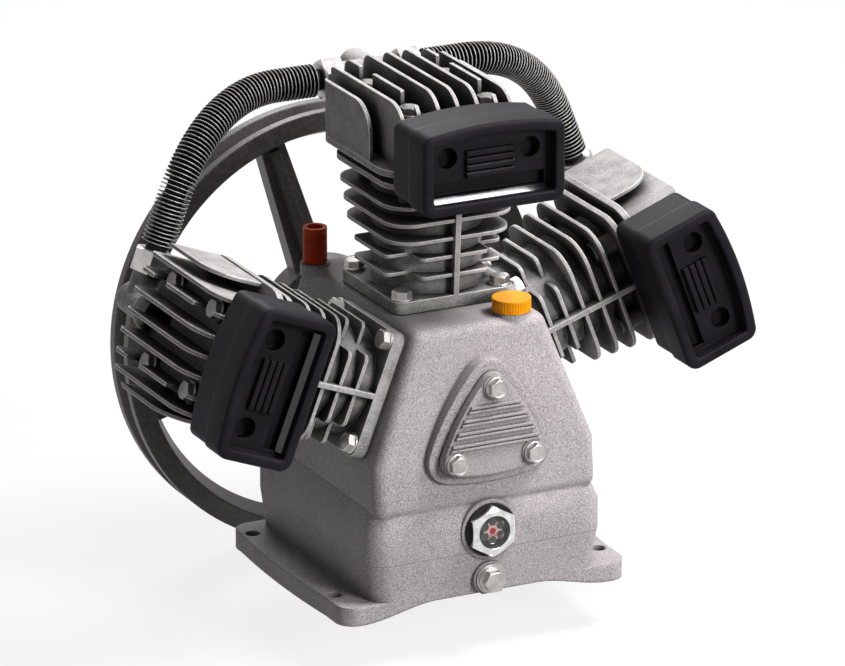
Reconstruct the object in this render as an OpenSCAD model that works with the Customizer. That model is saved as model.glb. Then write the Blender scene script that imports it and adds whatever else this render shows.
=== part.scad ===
// Three-cylinder W-type air compressor pump, belt driven, bare (no tank).
// Origin: centre of the base's underside. X across, Y along the crankshaft
// towards the flywheel, Z up. All sizes in millimetres.

/* [Base] */
// Width of the foot plate across the pump
base_w = 232; // [220:1:260]
// Depth of the foot plate along the crankshaft
base_d = 186; // [180:1:210]
// Thickness of the foot plate
base_t = 14; // [10:1:20]
// Corner radius of the foot plate
base_corner = 14; // [8:1:20]
// How far each long edge of the foot plate bows out
base_bow = 3; // [1:0.5:6]
// Distance from a foot bolt to the side of the foot plate
foot_edge = 8.5; // [7.5:0.5:13]
// Foot bolt spacing along the crankshaft
foot_bolt_y = 140; // [120:1:150]
// Foot bolt hole diameter
foot_hole_d = 11; // [9:0.5:13]

/* [Crankcase] */
// Height of the crankshaft axis above the base's underside
crank_z = 134.5; // [130:0.5:150]
// Tilt of the two side cylinders from the vertical
bank_tilt = 69; // [60:1:72]
// Distance from the crankshaft axis to each cylinder seat
seat_r = 77; // [75:1:84]
// Front end of the roof, measured from the middle of the base
roof_front = 91; // [86:1:95]
// Back end of the roof, measured from the middle of the base
roof_back = 98; // [94:1:102]
// Front of the shoulder where the sloping walls end
shoulder_front = 103; // [100:1:108]
// Height of that shoulder
shoulder_z = 84; // [76:1:90]
// Half width of the oil sump at its fullest
sump_half_w = 95; // [92:1:99]
// Height where the oil sump is fullest
sump_full_z = 58; // [50:1:64]
// Edge rounding of the casting
case_round = 9; // [6:1:12]
// Wall of the crank chamber in front
front_wall = 24; // [20:1:28]
// Radius of the crank chamber
chamber_r = 58; // [55:1:62]

/* [Crank train] */
// Cylinder bore
bore_d = 65; // [60:1:68]
// Piston stroke
stroke = 50; // [40:1:54]
// Connecting rod length between centres
rod_len = 128; // [124:1:136]
// Spacing of the rods along the crankpin
rod_pitch = 31; // [29:0.5:33]
// Place of the middle rod along the crankshaft
mid_rod_y = -3; // [-6:0.5:0]
// Crankpin diameter
crankpin_d = 32; // [28:1:36]
// Wrist pin diameter
wrist_d = 16; // [14:1:18]
// Height from wrist pin to piston crown
crown_h = 23; // [20:0.5:26]
// Gap between piston crown and valve plate at the top of the stroke
crown_gap = 1; // [0.6:0.1:1.5]
// Thickness of each crank web
web_t = 13; // [11:0.5:15]
// Front journal diameter
front_journal_d = 25; // [22:1:28]
// Rear journal diameter
rear_journal_d = 35; // [32:1:38]
// Radius of the counterweights
counterweight_r = 52; // [46:1:54]

/* [Cylinders] */
// Side of the square base flange
flange_side = 96; // [94:1:97]
// Thickness of the base flange
flange_t = 9; // [7:0.5:11]
// Bolt spacing of the base flange
flange_bolt = 79; // [76:0.5:80]
// Barrel wall
barrel_wall = 8; // [6:0.5:10]
// Distance from one cooling fin to the next
fin_pitch = 14; // [12.5:0.5:14.5]
// Thickness of a cylinder fin
fin_t = 2.6; // [2:0.2:3.4]
// Half width of the lowest full fin
fin_half = 48.5; // [47:0.5:52]
// How much each fin is wider than the one below, on each side
fin_grow = 1.8; // [0:0.1:2.5]
// Corner radius of the fins
fin_corner = 20; // [14:1:26]

/* [Heads] */
// Half width of a head
head_half_w = 57; // [55:0.5:60]
// Front of a head, measured from the cylinder axis
head_front = 58; // [56:1:62]
// Back of a head, measured from the cylinder axis
head_back = 70; // [66:1:74]
// Thickness of the head's foot plate
head_plate_t = 5; // [4:0.5:7]
// Height of the middle head fins above the foot plate
head_fin_h = 52; // [47:1:56]
// Distance from one head fin to the next
head_fin_pitch = 15.5; // [14.5:0.5:16]
// Thickness of a head fin
head_fin_t = 2.8; // [2:0.2:3.6]
// Head bolt spacing across the head
head_bolt_x = 62; // [60:0.5:64]
// Head bolt spacing along the crankshaft
head_bolt_y = 68; // [64:1:72]

/* [Intake filters] */
// Half length of a filter housing
filter_half_w = 56.5; // [54:0.5:60]
// Distance from the crankshaft axis to the housing's flat side
filter_r0 = 169; // [168:1:172]
// Height of the housing from its flat side to its bowed side
filter_h = 65; // [62:1:68]
// How far the bowed side stands out in its middle
filter_bow = 4; // [3:0.5:7]
// Depth of the back box
filter_base_d = 27; // [24:1:32]
// Depth of the front cover
filter_cover_d = 25; // [22:1:30]
// Corner radius of the housing
filter_corner = 9; // [8:1:12]
// Width of the bezel round the recess
filter_bezel = 8; // [6:0.5:10]
// Depth of the recess
filter_recess = 11; // [9:0.5:13]
// Distance between the two round intake holes
intake_gap = 66; // [60:1:70]
// Diameter of a round intake hole
intake_d = 16; // [12:0.5:18]

/* [Cooling tubes] */
// Distance from the crankshaft axis to the tube's straight runs
tube_r = 215; // [212:1:218]
// Bend radius of the tube
tube_bend = 105; // [90:1:115]
// Distance of the tube behind the cylinder axis
tube_back = 97; // [94:1:100]
// Outer diameter of the bare tube
tube_d = 16; // [14:0.5:18]
// Bore of the tube
tube_bore = 12; // [10:0.5:13]
// Diameter over the tube's fins
tube_fin_d = 25; // [22:0.5:26]
// Number of fins on a tube
tube_fins = 64; // [40:1:80]
// Sides of the tube's polygon
tube_sides = 10; // [8:1:12]
// Across flats of the tube nuts
tube_nut_af = 27; // [24:1:30]

/* [Flywheel] */
// Outer diameter of the flywheel
wheel_d = 340; // [320:1:345]
// Width of the rim
rim_w = 32; // [28:1:36]
// Front face of the rim, measured from the middle of the base
rim_front = 153; // [150:1:160]
// Radial thickness of the rim at its faces
rim_t = 15; // [13:0.5:18]
// How much thicker the rim is in its middle plane
rim_draft = 7; // [4:0.5:9]
// Top width of the belt groove
groove_w = 17; // [15:0.5:19]
// Depth of the belt groove
groove_depth = 13; // [10:0.5:14]
// Radius of the hub
hub_r = 50; // [40:1:56]
// Length of the hub
hub_len = 46; // [40:1:56]
// Width of a spoke
spoke_w = 20; // [16:1:26]
// Thickness of a spoke
spoke_t = 15; // [11:1:18]
// Turn of the first spoke from the horizontal
spoke_turn = 17.7; // [0:0.1:45]
// Diameter of the shaft end that carries the wheel
wheel_shaft_d = 28; // [25:1:30]

/* [Fittings] */
// Bolt circle radius of the front cover
cover_bolt_r = 36; // [34:0.5:38]
// Corner radius of the front cover round each bolt
cover_corner = 10; // [8:0.5:12]
// Thickness of the front cover plate
cover_t = 7; // [5:0.5:9]
// Diameter of the oil filler cap
filler_d = 28.5; // [26:0.5:30]
// Height of the oil filler cap
filler_h = 9.5; // [8:0.5:12]
// Diameter of the breather plug
breather_d = 18; // [16:0.5:20]
// Height of the breather plug above its boss
breather_h = 27; // [24:1:36]
// Height of the oil sight glass
sight_z = 59; // [56:1:62]
// Across flats of the sight glass body
sight_af = 34; // [32:1:36]
// Diameter of the glass
sight_glass_d = 25; // [23:0.5:26]
// Height of the drain plug
drain_z = 21; // [20:0.5:23]
// Across flats of an M8 bolt head
bolt_af = 13; // [12:0.5:14]

/* [Hidden] */
$fn = 48;

// Overlap of cutting tools past the faces they cut
cut = 1;
// Thickness of a paper gasket
gasket_t = 1;
// Running clearance on a radius
run_gap = 0.05;
// Clearance of a bolt in its hole, on the radius
bolt_gap = 0.5;
// Clearance between bodies that move past each other
body_gap = 0.4;
// Shank diameter of an M8 bolt
bolt_d = 8;
// Height of an M8 bolt head
bolt_head_h = 5.3;
// Washer of an M8 bolt
washer_d = 16;
washer_t = 1.6;

// Banks of cylinders: left, centre, right
LEFT = 0;
CENTRE = 1;
RIGHT = 2;
banks = [LEFT, CENTRE, RIGHT];
bank_angle = [-bank_tilt, 0, bank_tilt];
bank_y = [mid_rod_y - rod_pitch, mid_rod_y, mid_rod_y + rod_pitch];

// Crank train at rest: the crankpin stands straight up
crank_throw = stroke / 2;
function wrist_r(b) = crank_throw * cos(bank_angle[b])
    + sqrt(rod_len * rod_len - pow(crank_throw * sin(bank_angle[b]), 2));
function rod_lean(b) = asin(crank_throw * sin(bank_angle[b]) / rod_len);
deck_r = crank_throw + rod_len + crown_h + crown_gap;
valve_plate_t = 5;
head_seat_r = deck_r + valve_plate_t + gasket_t;
head_top_r = head_seat_r + head_plate_t + head_fin_h;
flange_r = seat_r + gasket_t;
bolt_half = flange_bolt / 2;

// Rods stand side by side on the crankpin with the webs at both ends
rod_w = rod_pitch - 1;
rods_front = bank_y[LEFT] - rod_pitch / 2;
rods_back = bank_y[RIGHT] + rod_pitch / 2;
web_front = rods_front - body_gap;
web_back = rods_back + body_gap;
front_journal_y = web_front - web_t;
rear_journal_y = web_back + web_t;
chamber_front = front_journal_y - 3;
front_bearing_w = 15;
front_bearing_d = 52;
rear_bearing_w = 17;
rear_bearing_d = 72;

// Back face of the crankcase and the rear housing that closes it
case_back = roof_back;
rear_flange_t = 10;
rear_open_r = counterweight_r + 2;
rear_bolt_r = rear_open_r + 7;
rear_flange_r = rear_bolt_r + 8;
rear_bearing_y = case_back - 4;
seal_w = 8;
seal_d = 52;
seal_y = rear_bearing_y + rear_bearing_w + 3;
housing_end = seal_y + seal_w;

// Flywheel on the shaft's end
rim_mid = rim_front + rim_w / 2;
wheel_r = wheel_d / 2;
hub_front = rim_mid - hub_len / 2;
hub_back = rim_mid + hub_len / 2;
shaft_end = hub_back - 4;
wheel_bolt_d = 12;
key_w = 8;
key_h = 7;
key_len = 32;

// Sloping front wall: its place at a given height
roof_z = crank_z + seat_r;
front_slope = (shoulder_front - roof_front) / (roof_z - shoulder_z);
function front_y(z) = -(roof_front + (roof_z - z) * front_slope);
boss_y = front_y(crank_z) - 7;
sump_y = -(shoulder_front + 2);

// Foot bolts
foot_bolt_x = base_w - 2 * foot_edge;

// Cylinder fins
fin_r0 = flange_r + flange_t + fin_pitch + 1;
short_fins = 2;
full_fins = 3;
short_fin_half = flange_side / 2 - 1;
rib_w = 4;

// Head fins from the middle outwards: share of the full height
head_fin_share = [1, 1, 0.97, 0.9, 0.78];
head_fin_x = [0, head_fin_pitch, 2 * head_fin_pitch, 2.8 * head_fin_pitch, 3.5 * head_fin_pitch];
head_corner = 25;
boss_r = 8;
head_body_half = 38;
head_body_h = 38;
head_wall = 6;
port_d = 18;
port_boss_d = 30;

// Filter housing
filter_back_y = -head_front;
filter_step_y = filter_back_y - filter_base_d;
filter_front_y = filter_step_y - filter_cover_d;
filter_wall = 3;
filter_step = 1.5;
intake_r = filter_r0 + 40;
slot_r0 = filter_r0 + 11.5;
slot_h = 10;

// Tube ends: distance of the nut's outer face from the head's middle plane
tube_end = 40;
nut_len = 17;
straight_end = tube_fin_d;

// Sight glass
sight_seal_d = 40;
sight_seal_t = 2;
sight_hex_t = 6;
sight_spigot_d = 26;

// Places on the roof
filler_x = 31;
filler_y = -78;
breather_x = -47.7;
breather_y = 86;

// Spigot of a cylinder in its crankcase opening
spigot_wall = 5;
spigot_len = 12;
// Threads and stems of the small fittings
drain_d = 12;
drain_stem = 14;
drain_af = 15;
drain_washer_d = 22;
filler_stem_d = 20;
filler_stem_len = 14;
breather_stem_d = 13;
breather_stem_len = 15;
// Piston rings
ring_t = 2;
ring_count = 3;
filter_mid = filter_r0 + filter_h / 2 - 4;
// Outlet thread in the middle fitting
outlet_d = 18.6;
// How far the cover's sides bow out
cover_bow = 3;
// Length of the outlet behind the middle fitting
outlet_len = 14;
// Height, width and pitch of the cover's paired ribs
cover_rib_h = 2;
cover_rib_w = 2.2;
cover_rib_pitch = 9.2;
// Raised pad under each cover bolt
cover_pad_d = 19;
cover_pad_h = 1;
// Width of a hexagon head's flat crown as a share of its width across flats
crown_share = 0.94;

// Puts its children in a bank's own frame: Z outwards along the cylinder
module on_bank(b) {
    translate([0, bank_y[b], crank_z]) rotate([0, bank_angle[b], 0]) children();
}

// Turns a cylinder's Z to point along +Y from the given place
module along_y(x, y, z) {
    translate([x, y, z]) rotate([-90, 0, 0]) children();
}

// Flat rounded rectangle from exact arcs
module rounded_rect(x0, x1, y0, y1, r) {
    translate([x0 + r, y0]) square([x1 - x0 - 2 * r, y1 - y0]);
    translate([x0, y0 + r]) square([x1 - x0, y1 - y0 - 2 * r]);
    for (x = [x0 + r, x1 - r], y = [y0 + r, y1 - r]) translate([x, y]) circle(r);
}

// Four copies at the corners of a rectangle
module at_corners(dx, dy) {
    for (x = [-dx, dx], y = [-dy, dy]) translate([x, y, 0]) children();
}

// Hexagon head whose corners are chamfered at its outer end
module hex_head(across, h) {
    crown = crown_share * across;
    intersection() {
        cylinder(d = across / cos(30), h = h, $fn = 6);
        cylinder(d1 = crown + 2 * h / tan(30), d2 = crown, h = h);
    }
}

// Hexagon-head bolt with washer: the washer's seat is at z = 0, the shank points down
module hex_bolt(len, head = bolt_head_h) {
    translate([0, 0, washer_t]) hex_head(bolt_af, head);
    cylinder(d = washer_d, h = washer_t + 0.1);
    translate([0, 0, -len]) cylinder(d = bolt_d, h = len + cut);
}

// Plan of one full cylinder fin
module fin_plan(half) {
    rounded_rect(-half, half, -half, half, fin_corner);
}

// Crankcase

// How far the sloping side walls lie inside the machined cylinder seats
wall_inset = 1;
// Height where the sloping side walls turn upright
knee_z = crank_z - 22;
// Corner radius of the oil sump in plan
sump_corner = 16;
// Underside of the sump in front of the foot plate
sump_bottom = base_t - 4;
// Depth to which bosses sink into the wall behind them
boss_root = 8;
// Margin of the front boss around the cover
boss_margin = 8;
// Corner radius of the cylinder flanges and their seats
flange_corner = 8;
// Height of the machined spots under the sight glass and the drain plug, and their depth
spot_pad = 1;
spot_root = 20;
// Height of the bosses under the filler cap and the breather plug
filler_pad = 2;
breather_pad = 1;
// Depth of the holes through the roof
roof_bore = 30;
// Thickness of the wall that carries the rear housing
back_wall = 12;
// Top of the oil space
oil_top = crank_z - 30;
// Depth of the threads for the cover, the rear housing and the cylinders
cover_thread = 18;
// Room left under the tip of a cover bolt
tip_room = 3;
rear_thread = 10;
seat_thread = 16;
// Hollow under the foot plate
foot_rim = 24;
foot_hollow = 5;
// Oil space below the crank chamber
oil_wall = 22;
oil_floor = base_t + 10;

// Half distance of the edge roundings' centres at a height on the sloping wall
function wall_x(z) =
    (seat_r - wall_inset - case_round - (z - crank_z) * cos(bank_tilt)) / sin(bank_tilt);

module case_corner(x, z) {
    for (side = [-1, 1]) {
        translate([side * x, front_y(z) + case_round, z]) sphere(case_round, $fn = 32);
        translate([side * x, case_back - case_round, z]) sphere(case_round, $fn = 32);
    }
}

module case_housing() {
    hull() {
        case_corner(wall_x(roof_z - case_round), roof_z - case_round);
        case_corner(wall_x(knee_z), knee_z);
        case_corner(wall_x(knee_z), shoulder_z);
    }
}

module sump_ring(half_w, front, z) {
    for (x = [-1, 1], y = [front + sump_corner, case_back - sump_corner - 2])
        translate([x * (half_w - sump_corner), y, z]) cylinder(r = sump_corner, h = 1, $fn = 32);
}

module case_sump() {
    hull() {
        sump_ring(sump_half_w - 6, sump_y + 4, shoulder_z - 4);
        sump_ring(sump_half_w, sump_y, sump_full_z + 6);
        sump_ring(sump_half_w, sump_y, sump_full_z - 14);
        sump_ring(sump_half_w - 5, sump_y + 3, sump_bottom);
    }
}

module bowed_edge() {
    chord = base_d - 2 * base_corner;
    span = chord - base_corner;
    bow_r = (span * span / 4 + base_bow * base_bow) / (2 * base_bow);
    intersection() {
        translate([bow_r - base_bow, 0]) circle(bow_r, $fn = 96);
        translate([-base_bow, -chord / 2]) square([base_bow + base_corner, chord]);
    }
}

module foot_plate() {
    difference() {
        linear_extrude(base_t) {
            rounded_rect(-base_w / 2, base_w / 2, -base_d / 2, base_d / 2, base_corner);
            translate([-base_w / 2, 0]) bowed_edge();
            mirror([1, 0]) translate([-base_w / 2, 0]) bowed_edge();
        }
        translate([0, 0, -cut]) linear_extrude(foot_hollow + cut)
            rounded_rect(-base_w / 2 + foot_rim, base_w / 2 - foot_rim,
                -base_d / 2 + foot_rim, base_d / 2 - foot_rim, base_corner);
    }
}

// Rounded triangle with bowed sides that run on from its corners, one bolt at each corner
cover_chord = cover_bolt_r * sin(60);
cover_reach = cover_bolt_r / 2 + cover_bow;
side_r = (cover_chord * cover_chord + cover_bow * cover_bow) / (2 * cover_bow);
side_turn = asin(cover_chord / side_r);
function direction(a) = [cos(a), sin(a)];
function arc(centre, r, from, to, steps) = [for (k = [1:steps]) centre + r * direction(from + (to - from) * k / steps)];
module cover_outline(grow = 0) {
    corner = cover_corner + grow;
    polygon([for (k = [0:2]) let (mid = 150 + 120 * k) each concat(
        arc((cover_reach - side_r) * direction(mid), side_r + corner, mid - side_turn, mid + side_turn, 10),
        arc(cover_bolt_r * direction(mid + 60), corner, mid + side_turn, mid + 120 - side_turn, 8))]);
}

// Draws a flat outline on the front: x stays, y becomes height above the crankshaft
module on_front(y, depth) {
    translate([0, y, crank_z]) rotate([90, 0, 0]) linear_extrude(depth) children();
}

// Plan of a cylinder's square flange
module flange_plan(grow = 0) {
    half = flange_side / 2 + grow;
    rounded_rect(-half, half, -half, half, flange_corner);
}

module at_cover_bolts() {
    for (k = [0:2]) rotate([0, -120 * k, 0]) translate([0, 0, cover_bolt_r]) children();
}

module at_rear_bolts() {
    for (k = [0:5]) rotate([0, 60 * k + 30, 0]) translate([0, 0, rear_bolt_r]) children();
}

module crankcase() {
    color("silver") difference() {
        union() {
            case_housing();
            case_sump();
            foot_plate();
            on_front(-roof_front + boss_root, -boss_y - roof_front + boss_root) cover_outline(boss_margin);
            for (b = banks) on_bank(b) translate([0, 0, chamber_r - boss_root])
                linear_extrude(seat_r - chamber_r + boss_root) flange_plan();
            along_y(0, case_back - boss_root, crank_z) cylinder(r = rear_flange_r, h = boss_root);
            along_y(0, sump_y - spot_pad, sight_z) cylinder(d = sight_seal_d + 6, h = spot_root);
            along_y(0, sump_y - spot_pad, drain_z) cylinder(d = drain_washer_d + 4, h = spot_root);
            translate([filler_x, filler_y, roof_z - boss_root]) cylinder(d = filler_d - 2, h = boss_root + filler_pad);
            translate([breather_x, breather_y, roof_z - boss_root]) cylinder(d = breather_d + 4, h = boss_root + breather_pad);
        }
        // Crank chamber and oil space
        along_y(0, chamber_front, crank_z) cylinder(r = chamber_r, h = case_back - back_wall - chamber_front);
        along_y(0, 0, crank_z) cylinder(r = rear_open_r, h = case_back + cut);
        translate([-sump_half_w + oil_wall, chamber_front, oil_floor])
            cube([2 * (sump_half_w - oil_wall), case_back - back_wall - chamber_front, oil_top - oil_floor]);
        // Front bearing seat and cover bolts
        along_y(0, boss_y - cut, crank_z)
            cylinder(d = front_bearing_d, h = chamber_front - boss_y + 2 * cut);
        translate([0, boss_y, crank_z]) at_cover_bolts() rotate([-90, 0, 0])
            translate([0, 0, -cut]) cylinder(d = bolt_d, h = cover_thread + cut);
        translate([0, case_back, crank_z]) at_rear_bolts() rotate([90, 0, 0])
            translate([0, 0, -cut]) cylinder(d = bolt_d, h = rear_thread + cut);
        // Cylinder openings and their bolt holes
        for (b = banks) on_bank(b) {
            cylinder(r = bore_d / 2 + spigot_wall + run_gap, h = seat_r + 30);
            translate([0, 0, seat_r - seat_thread]) at_corners(bolt_half, bolt_half)
                cylinder(d = bolt_d, h = seat_thread + cut);
            translate([0, 0, seat_r]) linear_extrude(2 * seat_thread) flange_plan(2);
        }
        // Sight glass, drain, filler and breather openings
        along_y(0, sump_y - spot_pad - cut, sight_z) cylinder(d = sight_spigot_d + 2 * run_gap, h = 3 * spot_root);
        along_y(0, sump_y - spot_pad - cut, drain_z) cylinder(d = drain_d + 2 * run_gap, h = 1.5 * spot_root);
        translate([filler_x, filler_y, roof_z - roof_bore]) cylinder(d = filler_stem_d + 2 * body_gap, h = roof_bore + boss_root);
        translate([breather_x, breather_y, roof_z - roof_bore])
            cylinder(d = breather_stem_d + 2 * body_gap, h = roof_bore + boss_root);
        // Foot bolts
        at_corners(foot_bolt_x / 2, foot_bolt_y / 2) translate([0, 0, -cut])
            cylinder(d = foot_hole_d, h = base_t + 2 * cut);
    }
}

module front_cover() {
    face_y = boss_y - gasket_t;
    spigot_len = chamber_front - front_bearing_w - boss_y;
    color("silver") difference() {
        union() {
            on_front(face_y, cover_t) cover_outline();
            intersection() {
                on_front(face_y, cover_t + cover_rib_h) cover_outline(-cover_rib_w);
                for (k = [0:3], e = [0, cover_rib_w + 1])
                    translate([-2 * cover_bolt_r, face_y - cover_t - cover_rib_h, crank_z + cover_rib_pitch * (k - 1) + e])
                        cube([4 * cover_bolt_r, 2 * cover_rib_h, cover_rib_w]);
            }
            along_y(0, face_y, crank_z) cylinder(d = front_bearing_d - 2 * run_gap, h = spigot_len + gasket_t - run_gap);
            translate([0, face_y - cover_t, crank_z]) at_cover_bolts() rotate([90, 0, 0])
                cylinder(d = cover_pad_d, h = cover_pad_h);
        }
        translate([0, face_y - cover_t - cover_pad_h, crank_z]) at_cover_bolts() rotate([90, 0, 0])
            cylinder(d = cover_pad_d + cut, h = cover_rib_h);
        along_y(0, face_y + cut, crank_z) cylinder(d = front_bearing_d - 14, h = spigot_len + cut);
        translate([0, face_y, crank_z]) at_cover_bolts() rotate([90, 0, 0])
            translate([0, 0, -cut]) cylinder(d = bolt_d + 2 * bolt_gap, h = cover_t + 4);
    }
}

module front_cover_gasket() {
    color("dimgray") difference() {
        on_front(boss_y, gasket_t) cover_outline();
        along_y(0, boss_y - 3, crank_z) cylinder(d = front_bearing_d + 1, h = 6);
        translate([0, boss_y, crank_z]) at_cover_bolts() rotate([90, 0, 0])
            translate([0, 0, -cut]) cylinder(d = bolt_d + 2 * bolt_gap, h = 4);
    }
}

module front_cover_bolts() {
    color("gainsboro") translate([0, boss_y - gasket_t - cover_t - cover_pad_h, crank_z]) at_cover_bolts()
        rotate([90, 0, 0]) hex_bolt(cover_t + cover_thread - tip_room);
}

module rear_bearing_housing() {
    color("silver") difference() {
        union() {
            along_y(0, case_back, crank_z) cylinder(r = rear_flange_r, h = rear_flange_t);
            along_y(0, case_back - 10, crank_z) cylinder(r = rear_open_r - run_gap, h = 12);
            along_y(0, case_back, crank_z) cylinder(d = rear_bearing_d + 18, h = housing_end - case_back);
            for (k = [0:5]) translate([0, 0, crank_z]) rotate([0, 60 * k, 0])
                translate([-3, case_back + rear_flange_t - 1, 36]) cube([6, 10, 26]);
        }
        along_y(0, 0, crank_z) cylinder(d = rear_bearing_d, h = rear_bearing_y + rear_bearing_w);
        along_y(0, 0, crank_z) cylinder(d = rear_journal_d + 8, h = housing_end + cut);
        along_y(0, seal_y, crank_z) cylinder(d = seal_d, h = seal_w + cut);
        translate([0, case_back, crank_z]) at_rear_bolts() rotate([-90, 0, 0])
            translate([0, 0, -cut]) cylinder(d = bolt_d + 2 * bolt_gap, h = rear_flange_t + 2 * cut);
    }
}

module rear_housing_bolts() {
    color("gainsboro") translate([0, case_back + rear_flange_t, crank_z]) at_rear_bolts()
        rotate([-90, 0, 0]) hex_bolt(rear_flange_t + 8);
}

module oil_seal() {
    color("black") difference() {
        along_y(0, seal_y, crank_z) cylinder(d = seal_d, h = seal_w);
        along_y(0, seal_y - cut, crank_z) cylinder(d = rear_journal_d + 2 * run_gap, h = seal_w + 2 * cut);
        along_y(0, seal_y + 5, crank_z) cylinder(d = seal_d - 8, h = seal_w);
    }
}

// Bearings and crank train

module ball_bearing(bore, outer, width, balls) {
    mid = (bore + outer) / 4;
    ball_r = (outer - bore) / 8;
    rotate_extrude() difference() {
        translate([mid + ball_r * 0.5, 0]) square([outer / 2 - mid - ball_r * 0.5, width]);
        translate([mid, width / 2]) circle(ball_r + run_gap);
    }
    rotate_extrude() difference() {
        translate([bore / 2, 0]) square([mid - ball_r * 0.5 - bore / 2, width]);
        translate([mid, width / 2]) circle(ball_r + run_gap);
    }
    for (k = [0:balls - 1]) rotate(360 / balls * k) translate([mid, 0, width / 2]) sphere(ball_r);
}

module front_bearing() {
    color("lightgray") along_y(0, chamber_front - front_bearing_w, crank_z)
        ball_bearing(front_journal_d + 2 * run_gap, front_bearing_d, front_bearing_w, 8);
}

module rear_bearing() {
    color("lightgray") along_y(0, rear_bearing_y, crank_z)
        ball_bearing(rear_journal_d + 2 * run_gap, rear_bearing_d, rear_bearing_w, 9);
}

module crank_web() {
    linear_extrude(web_t) {
        translate([0, -crank_throw]) circle(crankpin_d / 2 + 7);
        circle(crank_throw + 6);
        intersection() {
            circle(counterweight_r);
            translate([-counterweight_r, 4]) square([2 * counterweight_r, counterweight_r]);
        }
    }
}

module crankshaft() {
    color("darkgray") difference() {
        union() {
            along_y(0, front_journal_y, crank_z) crank_web();
            along_y(0, web_back, crank_z) crank_web();
            along_y(0, chamber_front - front_bearing_w - 2, crank_z)
                cylinder(d = front_journal_d, h = front_journal_y - chamber_front + front_bearing_w + 3);
            along_y(0, front_journal_y - 3 + body_gap, crank_z) cylinder(d = front_journal_d + 8, h = 4);
            along_y(0, rear_journal_y - cut, crank_z)
                cylinder(d = rear_journal_d, h = housing_end - rear_journal_y + 4 + cut);
            along_y(0, rear_journal_y - cut, crank_z)
                cylinder(d = rear_journal_d + 10, h = rear_bearing_y - rear_journal_y - body_gap + cut);
            along_y(0, housing_end, crank_z) cylinder(d = wheel_shaft_d, h = shaft_end - housing_end);
        }
        translate([-key_w / 2, rim_mid - key_len / 2, crank_z + wheel_shaft_d / 2 - key_h / 2])
            cube([key_w, key_len, key_h]);
        along_y(0, shaft_end - 30, crank_z) cylinder(d = wheel_bolt_d, h = 30 + cut);
    }
}

module crankpin() {
    color("darkgray") along_y(0, rods_front, crank_z + crank_throw) difference() {
        cylinder(d = crankpin_d, h = rods_back - rods_front);
        translate([0, 0, -cut]) cylinder(d = crankpin_d - 18, h = rods_back - rods_front + 2 * cut);
    }
}

// Connecting rod: big end at the origin, small end at its length along Z
module connecting_rod() {
    big_r = crankpin_d / 2 + 7;
    small_r = wrist_d / 2 + 5;
    shank_t = 16;
    difference() {
        union() {
            along_y(0, -rod_w / 2, 0) cylinder(r = big_r, h = rod_w);
            along_y(0, -rod_w / 2 + 2, rod_len) cylinder(r = small_r, h = rod_w - 4);
            rotate([90, 0, 0]) translate([0, 0, -shank_t / 2]) linear_extrude(shank_t)
                polygon([[-12, 0], [12, 0], [8, rod_len], [-8, rod_len]]);
            translate([-big_r - 5, -rod_w / 2, -5]) cube([2 * big_r + 10, rod_w, 10]);
        }
        along_y(0, -rod_w / 2 - cut, 0) cylinder(d = crankpin_d + 2 * run_gap, h = rod_w + 2 * cut);
        along_y(0, -rod_w / 2, rod_len) cylinder(d = wrist_d + 2 * run_gap, h = rod_w);
        for (y = [-shank_t / 2 - cut, shank_t / 2 - 4]) translate([-4.5, y, big_r + 6])
            cube([9, 4 + cut, rod_len - big_r - small_r - 12]);
    }
}

module rod(b) {
    color("lightgray") on_bank(b)
        translate([-crank_throw * sin(bank_angle[b]), 0, crank_throw * cos(bank_angle[b])])
        rotate([0, rod_lean(b), 0]) connecting_rod();
}
module rod_left() { rod(LEFT); }
module rod_centre() { rod(CENTRE); }
module rod_right() { rod(RIGHT); }

skirt_len = 26;
ring_gap = 4.5;
ring_depth = 3;

module piston(b) {
    color("gainsboro") on_bank(b) translate([0, 0, wrist_r(b)]) difference() {
        translate([0, 0, -skirt_len]) cylinder(d = bore_d - 2 * run_gap, h = skirt_len + crown_h);
        // Hollow skirt that leaves two bosses for the wrist pin
        difference() {
            translate([0, 0, -skirt_len - cut]) cylinder(d = bore_d - 12, h = skirt_len + crown_h - 6 + cut);
            for (side = [-1, 1]) translate([-wrist_d / 2 - 4, side > 0 ? rod_w / 2 : -bore_d / 2, -wrist_d / 2 - 4])
                cube([wrist_d + 8, (bore_d - rod_w) / 2, wrist_d + crown_h]);
        }
        along_y(0, -bore_d / 2, 0) cylinder(d = wrist_d + 2 * run_gap, h = bore_d);
        for (k = [0:ring_count - 1]) translate([0, 0, crown_h - 5 - ring_gap * k - ring_t]) difference() {
            cylinder(d = bore_d + 2, h = ring_t);
            translate([0, 0, -cut]) cylinder(d = bore_d - 2 * ring_depth, h = ring_t + 2 * cut);
        }
    }
}
module piston_left() { piston(LEFT); }
module piston_centre() { piston(CENTRE); }
module piston_right() { piston(RIGHT); }

module piston_rings() {
    side_gap = 0.05;
    slit = 0.6;
    color("dimgray") for (b = banks, k = [0:ring_count - 1]) on_bank(b)
        translate([0, 0, wrist_r(b) + crown_h - 5 - ring_gap * k - ring_t + side_gap]) rotate(120 * k) difference() {
            cylinder(d = bore_d - 2 * run_gap, h = ring_t - 2 * side_gap);
            translate([0, 0, -cut]) cylinder(d = bore_d - 2 * ring_depth + 1, h = ring_t + 2 * cut);
            translate([0, -slit / 2, -cut]) cube([bore_d, slit, ring_t + 2 * cut]);
        }
}

module wrist_pins() {
    pin_len = bore_d - 6;
    color("lightgray") for (b = banks) on_bank(b) along_y(0, -pin_len / 2, wrist_r(b)) difference() {
        cylinder(d = wrist_d, h = pin_len);
        translate([0, 0, -cut]) cylinder(d = wrist_d - 7, h = pin_len + 2 * cut);
    }
}

// Cylinders, valve plates and heads

deck_t = 4;
deck_half = fin_half + full_fins * fin_grow;
// Half width of the valve plate, set back between the deck and the head
seal_half = 44;
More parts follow.
